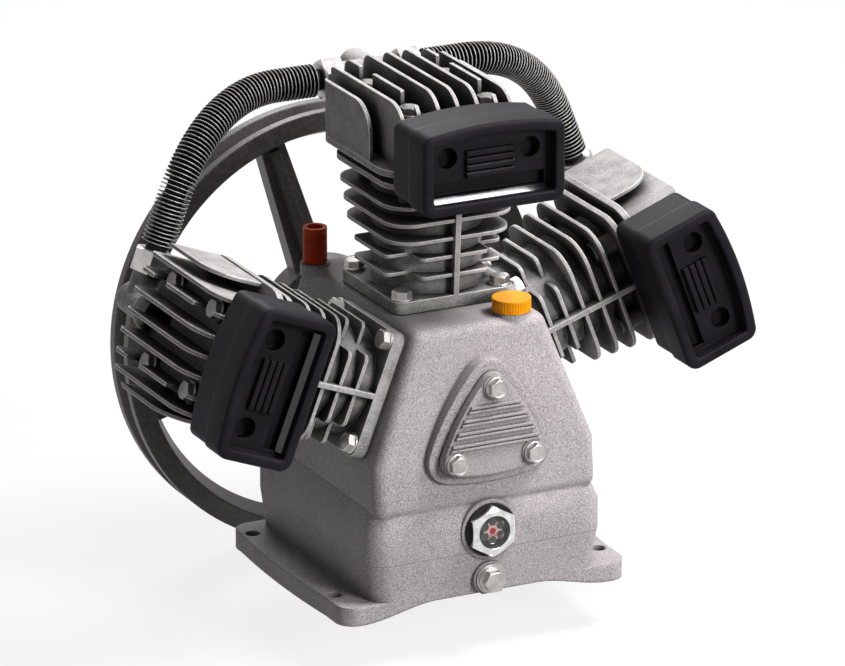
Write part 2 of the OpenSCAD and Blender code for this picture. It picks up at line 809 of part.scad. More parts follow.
// Depth of the thread for a head bolt below the deck
head_thread = 22;

module short_fin_plan() {
    notch = short_fin_half - bolt_half + washer_d / 2 + 4;
    inner = short_fin_half - notch;
    rounded_rect(-short_fin_half, short_fin_half, -inner, inner, 5);
    rounded_rect(-inner, inner, -short_fin_half, short_fin_half, 5);
}

// Upright rib that ties the fins together on the front and the back
module fin_rib() {
    top = deck_r - 1;
    rotate([90, 0, 90]) translate([0, 0, -rib_w / 2]) linear_extrude(rib_w)
        polygon([[bore_d / 2 + 3, flange_r + 1], [short_fin_half + 0.5, flange_r + 1],
            [deck_half + 0.5, top], [bore_d / 2 + 3, top]]);
}

module cylinder_casting() {
    difference() {
        union() {
            translate([0, 0, seat_r - spigot_len]) cylinder(r = bore_d / 2 + spigot_wall, h = spigot_len + 3);
            translate([0, 0, flange_r]) linear_extrude(flange_t)
                flange_plan();
            translate([0, 0, flange_r]) cylinder(r = bore_d / 2 + barrel_wall, h = deck_r - flange_r);
            for (k = [0:short_fins - 1]) translate([0, 0, fin_r0 + k * fin_pitch - fin_t / 2])
                linear_extrude(fin_t) short_fin_plan();
            for (k = [0:full_fins - 1]) translate([0, 0, fin_r0 + (short_fins + k) * fin_pitch - fin_t / 2])
                linear_extrude(fin_t) fin_plan(fin_half + k * fin_grow);
            translate([0, 0, deck_r - deck_t]) linear_extrude(deck_t) fin_plan(deck_half);
            translate([0, 0, deck_r - head_thread]) at_corners(head_bolt_x / 2, head_bolt_y / 2)
                cylinder(r = boss_r, h = head_thread);
            fin_rib();
            rotate(180) fin_rib();
        }
        translate([0, 0, seat_r - spigot_len - cut]) cylinder(d = bore_d, h = deck_r - seat_r + spigot_len + 2 * cut);
        translate([0, 0, flange_r - cut]) at_corners(bolt_half, bolt_half)
            cylinder(r = bolt_d / 2 + bolt_gap, h = flange_t + 2 * cut);
        translate([0, 0, deck_r - head_thread + 4]) at_corners(head_bolt_x / 2, head_bolt_y / 2)
            cylinder(d = bolt_d, h = head_thread);
    }
}

module cylinder_left() { color("lightgray") on_bank(LEFT) cylinder_casting(); }
module cylinder_centre() { color("lightgray") on_bank(CENTRE) cylinder_casting(); }
module cylinder_right() { color("lightgray") on_bank(RIGHT) cylinder_casting(); }

module cylinder_gaskets() {
    color("dimgray") for (b = banks) on_bank(b) translate([0, 0, seat_r]) difference() {
        linear_extrude(gasket_t)
            flange_plan();
        translate([0, 0, -cut]) cylinder(r = bore_d / 2 + spigot_wall + run_gap, h = gasket_t + 2 * cut);
        translate([0, 0, -cut]) at_corners(bolt_half, bolt_half)
            cylinder(r = bolt_d / 2 + bolt_gap, h = gasket_t + 2 * cut);
    }
}

module cylinder_bolts() {
    color("gainsboro") for (b = banks) on_bank(b) translate([0, 0, flange_r + flange_t])
        at_corners(bolt_half, bolt_half) hex_bolt(flange_t + 14);
}

module seal_plate(t) {
    linear_extrude(t) difference() {
        fin_plan(seal_half);
        for (x = [-1, 1], y = [-1, 1]) translate([x * head_bolt_x / 2, y * head_bolt_y / 2])
            circle(bolt_d / 2 + bolt_gap);
        children();
    }
}

module valve_plate(b) {
    color("darkgray") on_bank(b) translate([0, 0, deck_r]) seal_plate(valve_plate_t)
        for (side = [-1, 1], k = [-1:1]) translate([10 * k, side * (15 - abs(k) * 2)]) circle(3.5);
}
module valve_plate_left() { valve_plate(LEFT); }
module valve_plate_centre() { valve_plate(CENTRE); }
module valve_plate_right() { valve_plate(RIGHT); }

// Two chambers under a head: intake in front, discharge behind
chamber_half = head_body_half - head_wall - 14;
chamber_end = seal_half - head_wall;
module head_chambers_plan() {
    rounded_rect(-chamber_half, chamber_half, -chamber_end, -head_wall / 2, 6);
    rounded_rect(-chamber_half, chamber_half, head_wall / 2, chamber_end, 6);
}

module head_gaskets() {
    color("dimgray") for (b = banks) on_bank(b) translate([0, 0, deck_r + valve_plate_t])
        seal_plate(gasket_t) intersection() {
            head_chambers_plan();
            circle(bore_d / 2);
        }
}

module head_plan() {
    rounded_rect(-head_half_w, head_half_w, -head_front, head_back, head_corner);
}

// Side view of a head fin from its front edge: a square corner at the foot, round ones on top
module head_fin_side(front, h) {
    front_round = 24;
    back_round = 9;
    difference() {
        translate([front, 0]) square([head_back - front, h]);
        translate([front, h - front_round]) difference() {
            translate([-cut, 0]) square([front_round + cut, front_round + cut]);
            translate([front_round, 0]) circle(front_round);
        }
        translate([head_back - back_round, h - back_round]) difference() {
            square([back_round + cut, back_round + cut]);
            circle(back_round);
        }
    }
}

module head_fins() {
    outer = len(head_fin_x) - 1;
    for (side = [-1, 1], k = [0:outer]) translate([side * head_fin_x[k] - head_fin_t / 2, 0, head_plate_t - 1])
        rotate([90, 0, 90]) linear_extrude(head_fin_t)
            head_fin_side(k == outer ? -head_front / 3 : -head_front + 4, head_fin_h * head_fin_share[k] + 1);
}

module head_casting() {
    bolt_top = head_body_h + 2;
    difference() {
        union() {
            linear_extrude(head_plate_t) head_plan();
            linear_extrude(head_body_h)
                rounded_rect(-head_body_half, head_body_half, -head_front, head_back - head_wall, 10);
            intersection() {
                head_fins();
                linear_extrude(head_plate_t + head_fin_h + cut) head_plan();
            }
            at_corners(head_bolt_x / 2, head_bolt_y / 2) cylinder(r = boss_r, h = bolt_top);
            along_y(0, head_back - 14, tube_r - head_seat_r) cylinder(d = port_boss_d, h = 18);
        }
        // Chambers, intake and discharge ports
        translate([0, 0, -cut]) linear_extrude(head_body_h - head_wall + cut) head_chambers_plan();
        along_y(0, -head_front - cut, filter_mid - head_seat_r)
            cylinder(d = port_d + 8, h = head_front - chamber_end + 2 * head_wall);
        along_y(0, head_back - 40, tube_r - head_seat_r) cylinder(d = port_d, h = 60);
        // Head bolts and the room for a spanner above them
        at_corners(head_bolt_x / 2, head_bolt_y / 2) {
            translate([0, 0, -cut]) cylinder(r = bolt_d / 2 + bolt_gap, h = bolt_top + 2 * cut);
            translate([0, 0, bolt_top]) cylinder(r = washer_d / 2 + 3, h = head_fin_h);
        }
    }
}

module head_left() { color("silver") on_bank(LEFT) translate([0, 0, head_seat_r]) head_casting(); }
module head_centre() { color("silver") on_bank(CENTRE) translate([0, 0, head_seat_r]) head_casting(); }
module head_right() { color("silver") on_bank(RIGHT) translate([0, 0, head_seat_r]) head_casting(); }

module head_bolts() {
    grip = head_body_h + 2 + gasket_t + valve_plate_t;
    color("gainsboro") for (b = banks) on_bank(b) translate([0, 0, head_seat_r + head_body_h + 2])
        at_corners(head_bolt_x / 2, head_bolt_y / 2) hex_bolt(grip + head_thread - 8);
}

// Intake filters

// Housing outline seen from the front: x across, y outwards from the crankshaft
module filter_outline(inset = 0) {
    half = filter_half_w - inset;
    low = filter_r0 + inset;
    high = filter_r0 + filter_h - filter_bow - inset;
    r = max(filter_corner - inset, 3);
    chord = half - r;
    bow_r = (chord * chord + filter_bow * filter_bow) / (2 * filter_bow);
    rounded_rect(-half, half, low, high, r);
    intersection() {
        translate([0, high + filter_bow - bow_r]) circle(bow_r, $fn = 96);
        translate([-chord, high - r]) square([2 * chord, r + filter_bow]);
    }
}

// Extrudes an outline towards the front, from the given place along the crankshaft
module towards_front(y, depth) {
    translate([0, y, 0]) rotate([90, 0, 0]) linear_extrude(depth) children();
}

module filter_base(b) {
    color("#2a2a30") on_bank(b) difference() {
        towards_front(filter_back_y, filter_base_d) filter_outline(filter_step);
        towards_front(filter_back_y - filter_wall, filter_base_d) filter_outline(filter_step + filter_wall);
        along_y(0, filter_back_y - filter_wall - cut, filter_mid) cylinder(d = port_d + 8, h = filter_wall + 2 * cut);
    }
}
module filter_base_left() { filter_base(LEFT); }
module filter_base_centre() { filter_base(CENTRE); }
module filter_base_right() { filter_base(RIGHT); }

module filter_cover(b) {
    floor_y = filter_front_y + filter_recess;
    slot_half = filter_half_w - filter_bezel - 4;
    rib_half = 19;
    rib_r0 = slot_r0 + slot_h + 2.5;
    rib_step = 5.4;
    rib_h = 4.4;
    color("#2a2a30") on_bank(b) {
        difference() {
            towards_front(filter_step_y, filter_cover_d) filter_outline();
            towards_front(floor_y, filter_recess + cut) filter_outline(filter_bezel);
            towards_front(filter_step_y + cut, filter_cover_d - filter_recess - filter_wall + cut)
                filter_outline(filter_step + filter_wall);
            for (x = [-1, 1]) along_y(x * intake_gap / 2, floor_y - cut, intake_r) cylinder(d = intake_d, h = 2 * filter_wall);
            translate([-slot_half, floor_y - cut, slot_r0]) cube([2 * slot_half, 2 * filter_wall, slot_h]);
        }
        for (k = [0:3]) translate([-rib_half, floor_y - 4, rib_r0 + rib_step * k]) cube([2 * rib_half, 4.5, rib_h]);
        // Slanted lip along the flat side of the recess
        translate([-slot_half, 0, 0]) rotate([90, 0, 90]) linear_extrude(2 * slot_half)
            polygon([[floor_y + 1, filter_r0 + filter_bezel - 1], [floor_y - 5, filter_r0 + filter_bezel - 1],
                [floor_y + 1, slot_r0 - 0.5]]);
    }
}
module filter_cover_left() { filter_cover(LEFT); }
module filter_cover_centre() { filter_cover(CENTRE); }
module filter_cover_right() { filter_cover(RIGHT); }

module filter_elements() {
    color("beige") for (b = banks) on_bank(b) difference() {
        towards_front(filter_back_y - filter_wall, filter_base_d - filter_wall - 2)
            filter_outline(filter_step + filter_wall + 0.3);
        along_y(0, filter_back_y - filter_wall - 8, filter_mid) cylinder(d = port_d + 8, h = 10);
    }
}

// Discharge fittings and finned cooling tubes

fitting_d = 24;
fitting_bore = 12;
tube_start = tube_end - nut_len;
neck_y = head_back + 4;

// Block behind a head with one arm for each side in the list
module fitting(b, arms) {
    has_outlet = len(arms) > 1;
    fitting_end = tube_back + fitting_d / 2 + (has_outlet ? outlet_len : 0);
    color("lightgray") on_bank(b) difference() {
        union() {
            along_y(0, neck_y, tube_r) cylinder(d = fitting_d, h = fitting_end - neck_y);
            along_y(0, neck_y - 10, tube_r) cylinder(d = port_d - 2 * run_gap, h = 11);
            for (s = arms) translate([0, tube_back, tube_r]) rotate([0, 90 * s, 0]) cylinder(d = fitting_d - 2, h = tube_start);
        }
        along_y(0, neck_y - 11, tube_r)
            cylinder(d = fitting_bore, h = tube_back - neck_y + 11 + (has_outlet ? outlet_len : 0));
        for (s = arms) translate([0, tube_back, tube_r]) rotate([0, 90 * s, 0]) cylinder(d = fitting_bore, h = tube_start + cut);
        if (has_outlet) along_y(0, fitting_end - outlet_len, tube_r) cylinder(d = outlet_d, h = outlet_len + cut);
    }
}
module tube_elbow_left() { fitting(LEFT, [1]); }
module tube_tee() { fitting(CENTRE, [-1, 1]); }
module tube_elbow_right() { fitting(RIGHT, [-1]); }

module tube_nut(b, side) {
    on_bank(b) translate([side * tube_start, tube_back, tube_r]) rotate([0, 90 * side, 0]) difference() {
        hex_head(tube_nut_af, nut_len);
        translate([0, 0, -cut]) cylinder(d = tube_d + 2 * run_gap, h = nut_len + 2 * cut);
    }
}

module tube_nuts() {
    color("gainsboro") {
        tube_nut(LEFT, 1);
        tube_nut(CENTRE, -1);
        tube_nut(CENTRE, 1);
        tube_nut(RIGHT, -1);
    }
}

// Route of a tube from a side head to the middle one, as distance and height from the crankshaft
tube_corner = tube_r * tan(bank_tilt / 2);
tube_bend_len = tube_bend * tan(bank_tilt / 2);
run_len = tube_corner - tube_bend_len - tube_start;
arc_len = tube_bend * bank_tilt * PI / 180;
tube_len = 2 * run_len + arc_len;
arc_centre = (tube_r - tube_bend) / cos(bank_tilt / 2);

function run_point(t) = [-tube_r * sin(bank_tilt) + t * cos(bank_tilt), tube_r * cos(bank_tilt) + t * sin(bank_tilt)];
function arc_point(a) = [-arc_centre * sin(bank_tilt / 2) - tube_bend * sin(a),
    arc_centre * cos(bank_tilt / 2) + tube_bend * cos(a)];
function flat_point(s) =
    s < run_len ? run_point(tube_start + s)
    : s < run_len + arc_len ? arc_point(bank_tilt * (1 - (s - run_len) / arc_len))
    : [-(tube_start + tube_len - s), tube_r];
// Share of the sideways shift between the heads, made within the bend
function shift_share(s) = let (u = min(max((s - run_len) / arc_len, 0), 1)) u * u * (3 - 2 * u);
function tube_point(s, b) = let (p = flat_point(s), side = b == LEFT ? 1 : -1)
    [side * p[0], bank_y[b] + tube_back + (bank_y[CENTRE] - bank_y[b]) * shift_share(s), crank_z + p[1]];
function unit(v) = v / norm(v);
function tube_ring(s, r, b) =
    let (p = tube_point(s, b), step = 0.5,
        dir = unit(tube_point(min(s + step, tube_len), b) - tube_point(max(s - step, 0), b)),
        side = unit(cross(dir, [0, 1, 0])), up = cross(dir, side))
    [for (k = [0:tube_sides - 1]) let (a = 360 / tube_sides * k) p + r * (cos(a) * side + sin(a) * up)];

module finned_tube(b) {
    fin_start = nut_len + 6;
    fin_step = (tube_len - 2 * fin_start) / tube_fins;
    outer = concat(
        [[0, tube_d / 2], [fin_start, tube_d / 2]],
        [for (k = [0:tube_fins - 1], e = [0, 1])
            [fin_start + (k + 0.3 + 0.5 * e) * fin_step, e == 0 ? tube_d / 2 : tube_fin_d / 2]],
        [[tube_len - fin_start, tube_d / 2], [tube_len, tube_d / 2]]);
    inner_steps = 16;
    inner = [for (k = [inner_steps:-1:0]) [tube_len * k / inner_steps, tube_bore / 2]];
    rings = concat(outer, inner);
    count = len(rings);
    points = [for (ring = rings) each tube_ring(ring[0], ring[1], b)];
    faces = [for (i = [0:count - 1], k = [0:tube_sides - 1])
        let (n = (i + 1) % count, m = (k + 1) % tube_sides,
            p0 = i * tube_sides + k, p1 = i * tube_sides + m, p2 = n * tube_sides + m, p3 = n * tube_sides + k)
        each [[p0, p1, p2], [p0, p2, p3]]];
    color("#3a3a3c") polyhedron(points, faces);
}
module cooling_tube_left() { finned_tube(LEFT); }
module cooling_tube_right() { finned_tube(RIGHT); }

// Flywheel and its fastening

module rim_profile() {
    inner = wheel_r - rim_t;
    groove_floor = groove_w / 2 - groove_depth * tan(19);
    difference() {
        polygon([[wheel_r, 0], [wheel_r, rim_w], [inner, rim_w], [inner - rim_draft, rim_w / 2], [inner, 0]]);
        polygon([[wheel_r + cut, rim_w / 2 - groove_w / 2 - cut * tan(19)],
            [wheel_r + cut, rim_w / 2 + groove_w / 2 + cut * tan(19)],
            [wheel_r - groove_depth, rim_w / 2 + groove_floor],
            [wheel_r - groove_depth, rim_w / 2 - groove_floor]]);
    }
}

module spoke() {
    reach = wheel_r - rim_t - rim_draft + 3;
    rib = 8;
    root = spoke_w / 2 + 5;
    translate([0, 0, -spoke_t / 2]) linear_extrude(spoke_t)
        polygon([[0, -root], [reach, -spoke_w / 2], [reach, spoke_w / 2], [0, root]]);
    translate([0, -rib / 2, -spoke_t / 2 - 4]) cube([reach - 1, rib, spoke_t + 8]);
}

module flywheel() {
    hub_disc = 22;
    boss_r2 = 32;
    color("#4a4a4c") along_y(0, rim_mid, crank_z) difference() {
        union() {
            translate([0, 0, -rim_w / 2]) rotate_extrude($fn = 96) rim_profile();
            for (k = [0:3]) rotate(-spoke_turn + 90 * k) spoke();
            translate([0, 0, -hub_disc / 2]) cylinder(r = hub_r, h = hub_disc);
            translate([0, 0, -hub_len / 2]) cylinder(r = boss_r2, h = hub_len);
            for (s = [0, 1]) mirror([0, 0, s]) translate([0, 0, hub_disc / 2 - cut])
                cylinder(r1 = hub_r - 4, r2 = boss_r2, h = 7);
        }
        translate([0, 0, -hub_len / 2 - cut]) cylinder(d = wheel_shaft_d + 2 * run_gap, h = hub_len + 2 * cut);
        translate([-key_w / 2 - run_gap, -wheel_shaft_d / 2 - key_h / 2 - run_gap, -hub_len / 2 - cut])
            cube([key_w + 2 * run_gap, key_h, hub_len + 2 * cut]);
    }
}

module flywheel_key() {
    color("darkgray") translate([-key_w / 2 + run_gap, rim_mid - key_len / 2, crank_z + wheel_shaft_d / 2 - key_h / 2])
        cube([key_w - 2 * run_gap, key_len, key_h]);
}

wheel_washer_t = 5;
wheel_washer_d = 46;
wheel_bolt_af = 19;
wheel_bolt_head = 7.5;

module flywheel_washer() {
    color("gainsboro") along_y(0, hub_back, crank_z) difference() {
        cylinder(d = wheel_washer_d, h = wheel_washer_t);
        translate([0, 0, -cut]) cylinder(d = wheel_bolt_d + 1, h = wheel_washer_t + 2 * cut);
    }
}

module flywheel_bolt() {
    color("gainsboro") along_y(0, hub_back + wheel_washer_t, crank_z) {
        hex_head(wheel_bolt_af, wheel_bolt_head);
        translate([0, 0, -wheel_washer_t - 24]) cylinder(d = wheel_bolt_d, h = wheel_washer_t + 25);
    }
}

// Filler cap, breather plug, sight glass and drain

module oil_filler_cap() {
    grips = 44;
    grip_r = 0.8;
    seat_z = roof_z + filler_pad + body_gap;
    color("orange") translate([filler_x, filler_y, 0]) {
        difference() {
            translate([0, 0, seat_z]) cylinder(d = filler_d, h = filler_h);
            for (k = [0:grips - 1]) rotate(360 / grips * k) translate([filler_d / 2 + grip_r / 2, 0, seat_z - cut])
                cylinder(r = grip_r, h = filler_h - 1);
        }
        translate([0, 0, seat_z - filler_stem_len]) cylinder(d = filler_stem_d, h = filler_stem_len + 1);
    }
}

module breather_plug() {
    seat_z = roof_z + breather_pad + body_gap;
    rings = 12;
    plain_top = 4;
    ring_step = (breather_h - plain_top - 1.2) / rings;
    color("firebrick") translate([breather_x, breather_y, 0]) difference() {
        union() {
            translate([0, 0, seat_z]) cylinder(d = breather_d - 1.2, h = breather_h);
            translate([0, 0, seat_z + breather_h - plain_top]) cylinder(d = breather_d, h = plain_top);
            for (k = [0:rings - 1]) translate([0, 0, seat_z + 0.8 + k * ring_step]) cylinder(d = breather_d, h = 1.1);
            translate([0, 0, seat_z - breather_stem_len]) cylinder(d = breather_stem_d, h = breather_stem_len + 1);
        }
        translate([0, 0, seat_z + breather_h - 3]) cylinder(d = breather_d - 6, h = 4);
    }
}

sight_face = sump_y - spot_pad;
sight_recess = 4.5;
star_t = 1;

module sight_glass_seal() {
    color("black") along_y(0, sight_face - sight_seal_t, sight_z) difference() {
        cylinder(d = sight_seal_d, h = sight_seal_t);
        translate([0, 0, -cut]) cylinder(d = sight_spigot_d + 2 * run_gap, h = sight_seal_t + 2 * cut);
    }
}

module sight_glass_body() {
    front = sight_face - sight_seal_t - sight_hex_t;
    color("gainsboro") difference() {
        union() {
            along_y(0, front + sight_hex_t, sight_z) mirror([0, 0, 1]) rotate(30) hex_head(sight_af, sight_hex_t);
            along_y(0, front + 1, sight_z) cylinder(d = sight_spigot_d, h = sight_hex_t + sight_seal_t + 12);
        }
        along_y(0, front - cut, sight_z) cylinder(d = sight_glass_d, h = sight_recess + cut);
        along_y(0, front, sight_z) cylinder(d = sight_glass_d - 5, h = 40);
    }
}

module sight_glass_star() {
    star_y = sight_face - sight_seal_t - sight_hex_t + sight_recess - star_t;
    color("red") along_y(0, star_y, sight_z) linear_extrude(star_t) difference() {
        circle(sight_glass_d / 2);
        for (k = [0:5]) rotate(60 * k + 30) translate([sight_glass_d * 0.29, 0]) circle(3.2);
    }
}

module sight_glass_lens() {
    front = sight_face - sight_seal_t - sight_hex_t;
    color("white", 0.4) along_y(0, front + 0.3, sight_z) cylinder(d = sight_glass_d, h = sight_recess - star_t - 0.3);
}

// Height of the drain plug's hexagon and of the collar under it
drain_head = 7;
drain_collar = 2;
drain_washer_t = 1.5;

module drain_washer() {
    color("gainsboro") along_y(0, sump_y - spot_pad - drain_washer_t, drain_z) difference() {
        cylinder(d = drain_washer_d, h = drain_washer_t);
        translate([0, 0, -cut]) cylinder(d = drain_d + 2 * run_gap, h = 4);
    }
}

module drain_plug() {
    color("gainsboro") along_y(0, sump_y - spot_pad - drain_washer_t, drain_z) {
        translate([0, 0, -drain_collar]) mirror([0, 0, 1]) hex_head(drain_af, drain_head);
        translate([0, 0, -drain_collar]) cylinder(d = drain_washer_d - 3, h = drain_collar);
        translate([0, 0, -1]) cylinder(d = drain_d, h = drain_stem + 1);
    }
}

crankcase();
front_cover();
front_cover_gasket();
front_cover_bolts();
rear_bearing_housing();
rear_housing_bolts();
oil_seal();
front_bearing();
rear_bearing();
crankshaft();
crankpin();
rod_left();
rod_centre();
rod_right();
piston_left();
piston_centre();
piston_right();
piston_rings();
wrist_pins();
cylinder_left();
cylinder_centre();
cylinder_right();
cylinder_gaskets();
cylinder_bolts();
valve_plate_left();
valve_plate_centre();
valve_plate_right();
head_gaskets();
head_left();
head_centre();
head_right();
head_bolts();
filter_base_left();
filter_base_centre();
filter_base_right();
filter_cover_left();
filter_cover_centre();
filter_cover_right();
filter_elements();
tube_elbow_left();
tube_tee();
tube_elbow_right();
tube_nuts();
cooling_tube_left();
cooling_tube_right();
flywheel();
flywheel_key();
flywheel_washer();
flywheel_bolt();
oil_filler_cap();
breather_plug();
sight_glass_body();
sight_glass_seal();
sight_glass_star();
sight_glass_lens();
drain_plug();
drain_washer();
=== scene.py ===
"""Finished look of a belt-driven air compressor pump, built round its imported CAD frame."""

import math

import bmesh
import bpy
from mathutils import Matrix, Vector
from mathutils.geometry import tessellate_polygon


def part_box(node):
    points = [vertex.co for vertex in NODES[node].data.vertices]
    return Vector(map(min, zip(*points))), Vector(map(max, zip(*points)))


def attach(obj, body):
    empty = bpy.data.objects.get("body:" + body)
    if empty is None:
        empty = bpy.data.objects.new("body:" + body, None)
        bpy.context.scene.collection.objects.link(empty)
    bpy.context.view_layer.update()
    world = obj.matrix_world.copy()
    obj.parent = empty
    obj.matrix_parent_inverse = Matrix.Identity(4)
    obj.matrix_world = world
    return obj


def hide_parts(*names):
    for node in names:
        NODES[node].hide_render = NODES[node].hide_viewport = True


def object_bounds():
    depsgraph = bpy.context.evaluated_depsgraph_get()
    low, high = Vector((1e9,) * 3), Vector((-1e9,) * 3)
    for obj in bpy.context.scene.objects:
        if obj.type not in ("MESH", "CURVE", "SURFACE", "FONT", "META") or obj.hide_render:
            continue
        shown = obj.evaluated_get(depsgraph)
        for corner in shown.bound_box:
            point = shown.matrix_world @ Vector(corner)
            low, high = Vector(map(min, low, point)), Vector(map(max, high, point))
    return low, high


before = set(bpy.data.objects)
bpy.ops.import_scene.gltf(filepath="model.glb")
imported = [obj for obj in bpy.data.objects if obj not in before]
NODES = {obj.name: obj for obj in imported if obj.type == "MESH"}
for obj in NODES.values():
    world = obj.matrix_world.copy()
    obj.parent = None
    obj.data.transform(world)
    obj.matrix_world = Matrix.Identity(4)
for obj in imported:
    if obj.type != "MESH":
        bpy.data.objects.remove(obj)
CAD_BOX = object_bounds()

bl_info = {
    "name": "Compressor pump finish",
    "version": (1, 0, 0),
    "blender": (4, 5, 0),
    "location": "View3D > Sidebar > Pump",
    "description": "Paints and details a three-cylinder belt-driven compressor pump",
    "category": "Object",
}

MM = 0.001
BANKS = ("left", "centre", "right")
EDGE_SAMPLES = 6


class Wire:
    """A shader socket that Python arithmetic extends with Math nodes."""

    def __init__(self, paint, socket):
        self.paint, self.socket = paint, socket

    def math(self, operation, *others):
        return self.paint.math(operation, self, *others)

    def __add__(self, other):
        return self.math("ADD", other)

    __radd__ = __add__

    def __mul__(self, other):
        return self.math("MULTIPLY", other)

    __rmul__ = __mul__

    def __sub__(self, other):
        return self.math("SUBTRACT", other)

    def __rsub__(self, other):
        return self.paint.math("SUBTRACT", other, self)

    def __gt__(self, other):
        return self.math("GREATER_THAN", other)

    def __pow__(self, other):
        return self.math("POWER", other)

    def between(self, low, high):
        """0 below low, 1 above high, and a smooth rise between them."""
        limits = {"Value": self, "From Min": low, "From Max": high}
        return self.paint.wire("ShaderNodeMapRange", 0, {"interpolation_type": "SMOOTHSTEP"}, limits)


class Nodes:
    """A node tree that grows by one method."""

    def __init__(self, tree):
        self.tree = tree

    def node(self, kind, settings=None, inputs=None):
        """Adds a node, sets its settings, then gives its sockets values or links."""
        made = self.tree.nodes.new(kind)
        for key, value in (settings or {}).items():
            setattr(made, key, value)
        for key, value in (inputs or {}).items():
            for one in value if isinstance(value, list) else [value]:
                source = one.socket if isinstance(one, Wire) else one
                if isinstance(source, bpy.types.NodeSocket):
                    self.tree.links.new(source, made.inputs[key])
                elif source is not None:
                    made.inputs[key].default_value = source
        return made


class Shading(Nodes):
    """The shader nodes of a material or a world."""

    def __init__(self, owner, output):
        owner.use_nodes = True
        super().__init__(owner.node_tree)
        self.tree.nodes.clear()
        self.output = self.node(output)

    def wire(self, kind, output, settings=None, inputs=None):
        return Wire(self, self.node(kind, settings, inputs).outputs[output])

    def math(self, operation, *values):
        return self.wire("ShaderNodeMath", 0, {"operation": operation}, dict(enumerate(values)))

    def seen_directly(self):
        """1 for rays that show the background itself, straight, mirrored or through glass."""
        light = self.node("ShaderNodeLightPath")
        camera, glossy, through = (
            Wire(self, light.outputs[f"Is {kind} Ray"]) for kind in ("Camera", "Glossy", "Transmission")
        )
        return (camera + glossy + through) > 0.5

    def end(self, node):
        self.tree.links.new(node.outputs[0], self.output.inputs[0])


class Paint(Shading):
    """One procedural material on Object coordinates."""

    def __init__(self, name):
        self.material = bpy.data.materials.new(name)
        super().__init__(self.material, "ShaderNodeOutputMaterial")
        self.place = self.wire("ShaderNodeTexCoord", "Object")

    def noise(self, scale, detail, roughness=0.55):
        inputs = {"Vector": self.place, "Scale": scale, "Detail": detail, "Roughness": roughness}
        return self.wire("ShaderNodeTexNoise", "Fac", None, inputs)

    def cells(self, scale):
        return self.wire("ShaderNodeTexVoronoi", "Distance", None, {"Vector": self.place, "Scale": scale})

    def mark(self, attribute):
        """The value that a made mesh stores at its points."""
        return self.wire("ShaderNodeAttribute", "Fac", {"attribute_name": attribute})

    def axes(self):
        """The X, Y and Z of a point, in metres."""
        node = self.node("ShaderNodeSeparateXYZ", None, {0: self.place})
        return [Wire(self, node.outputs[k]) for k in range(3)]

    def mix(self, share, a, b):
        """Colour a where share is 0 and b where it is 1."""
        inputs = {0: share, 6: self.colour(a), 7: self.colour(b)}
        return self.wire("ShaderNodeMix", 2, {"data_type": "RGBA"}, inputs)

    def colour(self, value):
        return value if isinstance(value, Wire) else (*value[:3], 1.0)

    def bump(self, height, strength, distance, under=None):
        inputs = {"Height": height, "Strength": strength, "Distance": distance, "Normal": under}
        return self.wire("ShaderNodeBump", "Normal", None, inputs)

    def rounded_edges(self, radius):
        """Normal of a surface whose edges are rounded off."""
        return self.wire("ShaderNodeBevel", 0, {"samples": EDGE_SAMPLES}, {"Radius": radius})

    def near_edge(self, rounded):
        """Rises from 0 on flat faces towards 1 at the edges that the rounded normal turns over."""
        flat = self.wire("ShaderNodeNewGeometry", "Normal")
        same = self.wire("ShaderNodeVectorMath", "Value", {"operation": "DOT_PRODUCT"}, {0: rounded, 1: flat})
        return 1 - same

    def open_sky(self, reach, samples=EDGE_SAMPLES):
        """1 on open faces, towards 0 in gaps narrower than the reach."""
        return self.wire("ShaderNodeAmbientOcclusion", "AO", {"samples": samples}, {"Distance": reach})

    def finish(self, **sockets):
        """Ends the tree in a Principled shader with these values or links."""
        names = {key.replace("_", " "): value for key, value in sockets.items()}
        self.end(self.node("ShaderNodeBsdfPrincipled", None, names))
        return self.material


def tint(name, description, default):
    """A colour that the sidebar offers."""
    return bpy.props.FloatVectorProperty(
        name=name, description=description, default=default, subtype="COLOR", size=3, min=0.0, max=1.0
    )


def length(name, description, default):
    """A size in metres that the sidebar offers."""
    return bpy.props.FloatProperty(
        name=name, description=description, default=default, unit="LENGTH", min=0.0, precision=4
    )


class PumpColours(bpy.types.PropertyGroup):
    """Colours of the pump's finishes."""

    case: tint("Case paint", "Silver-grey hammered paint on the crankcase", (0.45, 0.412, 0.424))
    casting: tint("Castings", "Raw aluminium of cylinders and heads", (0.66, 0.63, 0.625))
    plastic: tint("Filter plastic", "Black plastic of the intake filters", (0.0095, 0.0085, 0.0115))
    wheel: tint("Flywheel paint", "Dark paint on the cast wheel", (0.070, 0.060, 0.061))
    fasteners: tint("Zinc", "Plated bolts, washers and nuts", (0.46, 0.44, 0.43))
    cap: tint("Filler cap", "Orange plastic of the oil filler cap", (0.90, 0.34, 0.001))
    plug: tint("Breather plug", "Red-brown plastic of the breather plug", (0.70, 0.075, 0.012))
    tube: tint("Cooling tubes", "Black paint on the finned tubes", (0.016, 0.0145, 0.015))


class PumpSizes(bpy.types.PropertyGroup):
    """Sizes of the pieces that are made here."""

    tube_radius: length("Tube run", "Height of the tubes' straight runs above the crankshaft", 0.215)
    tube_back: length("Tube offset", "Distance of a tube behind its cylinder's axis", 0.097)
    tube_bend: length("Tube bend", "Bend radius of the tubes", 0.105)
    tube_bore: length("Tube diameter", "Outer diameter of the bare tube", 0.016)
    fin_width: length("Fin diameter", "Diameter over the tube's fins", 0.025)
    fin_edge: length("Fin edge", "Thickness of a fin's rolled edge", 0.0008)
    fin_count: bpy.props.IntProperty(name="Fins", description="Fins on one tube", default=64, min=8)


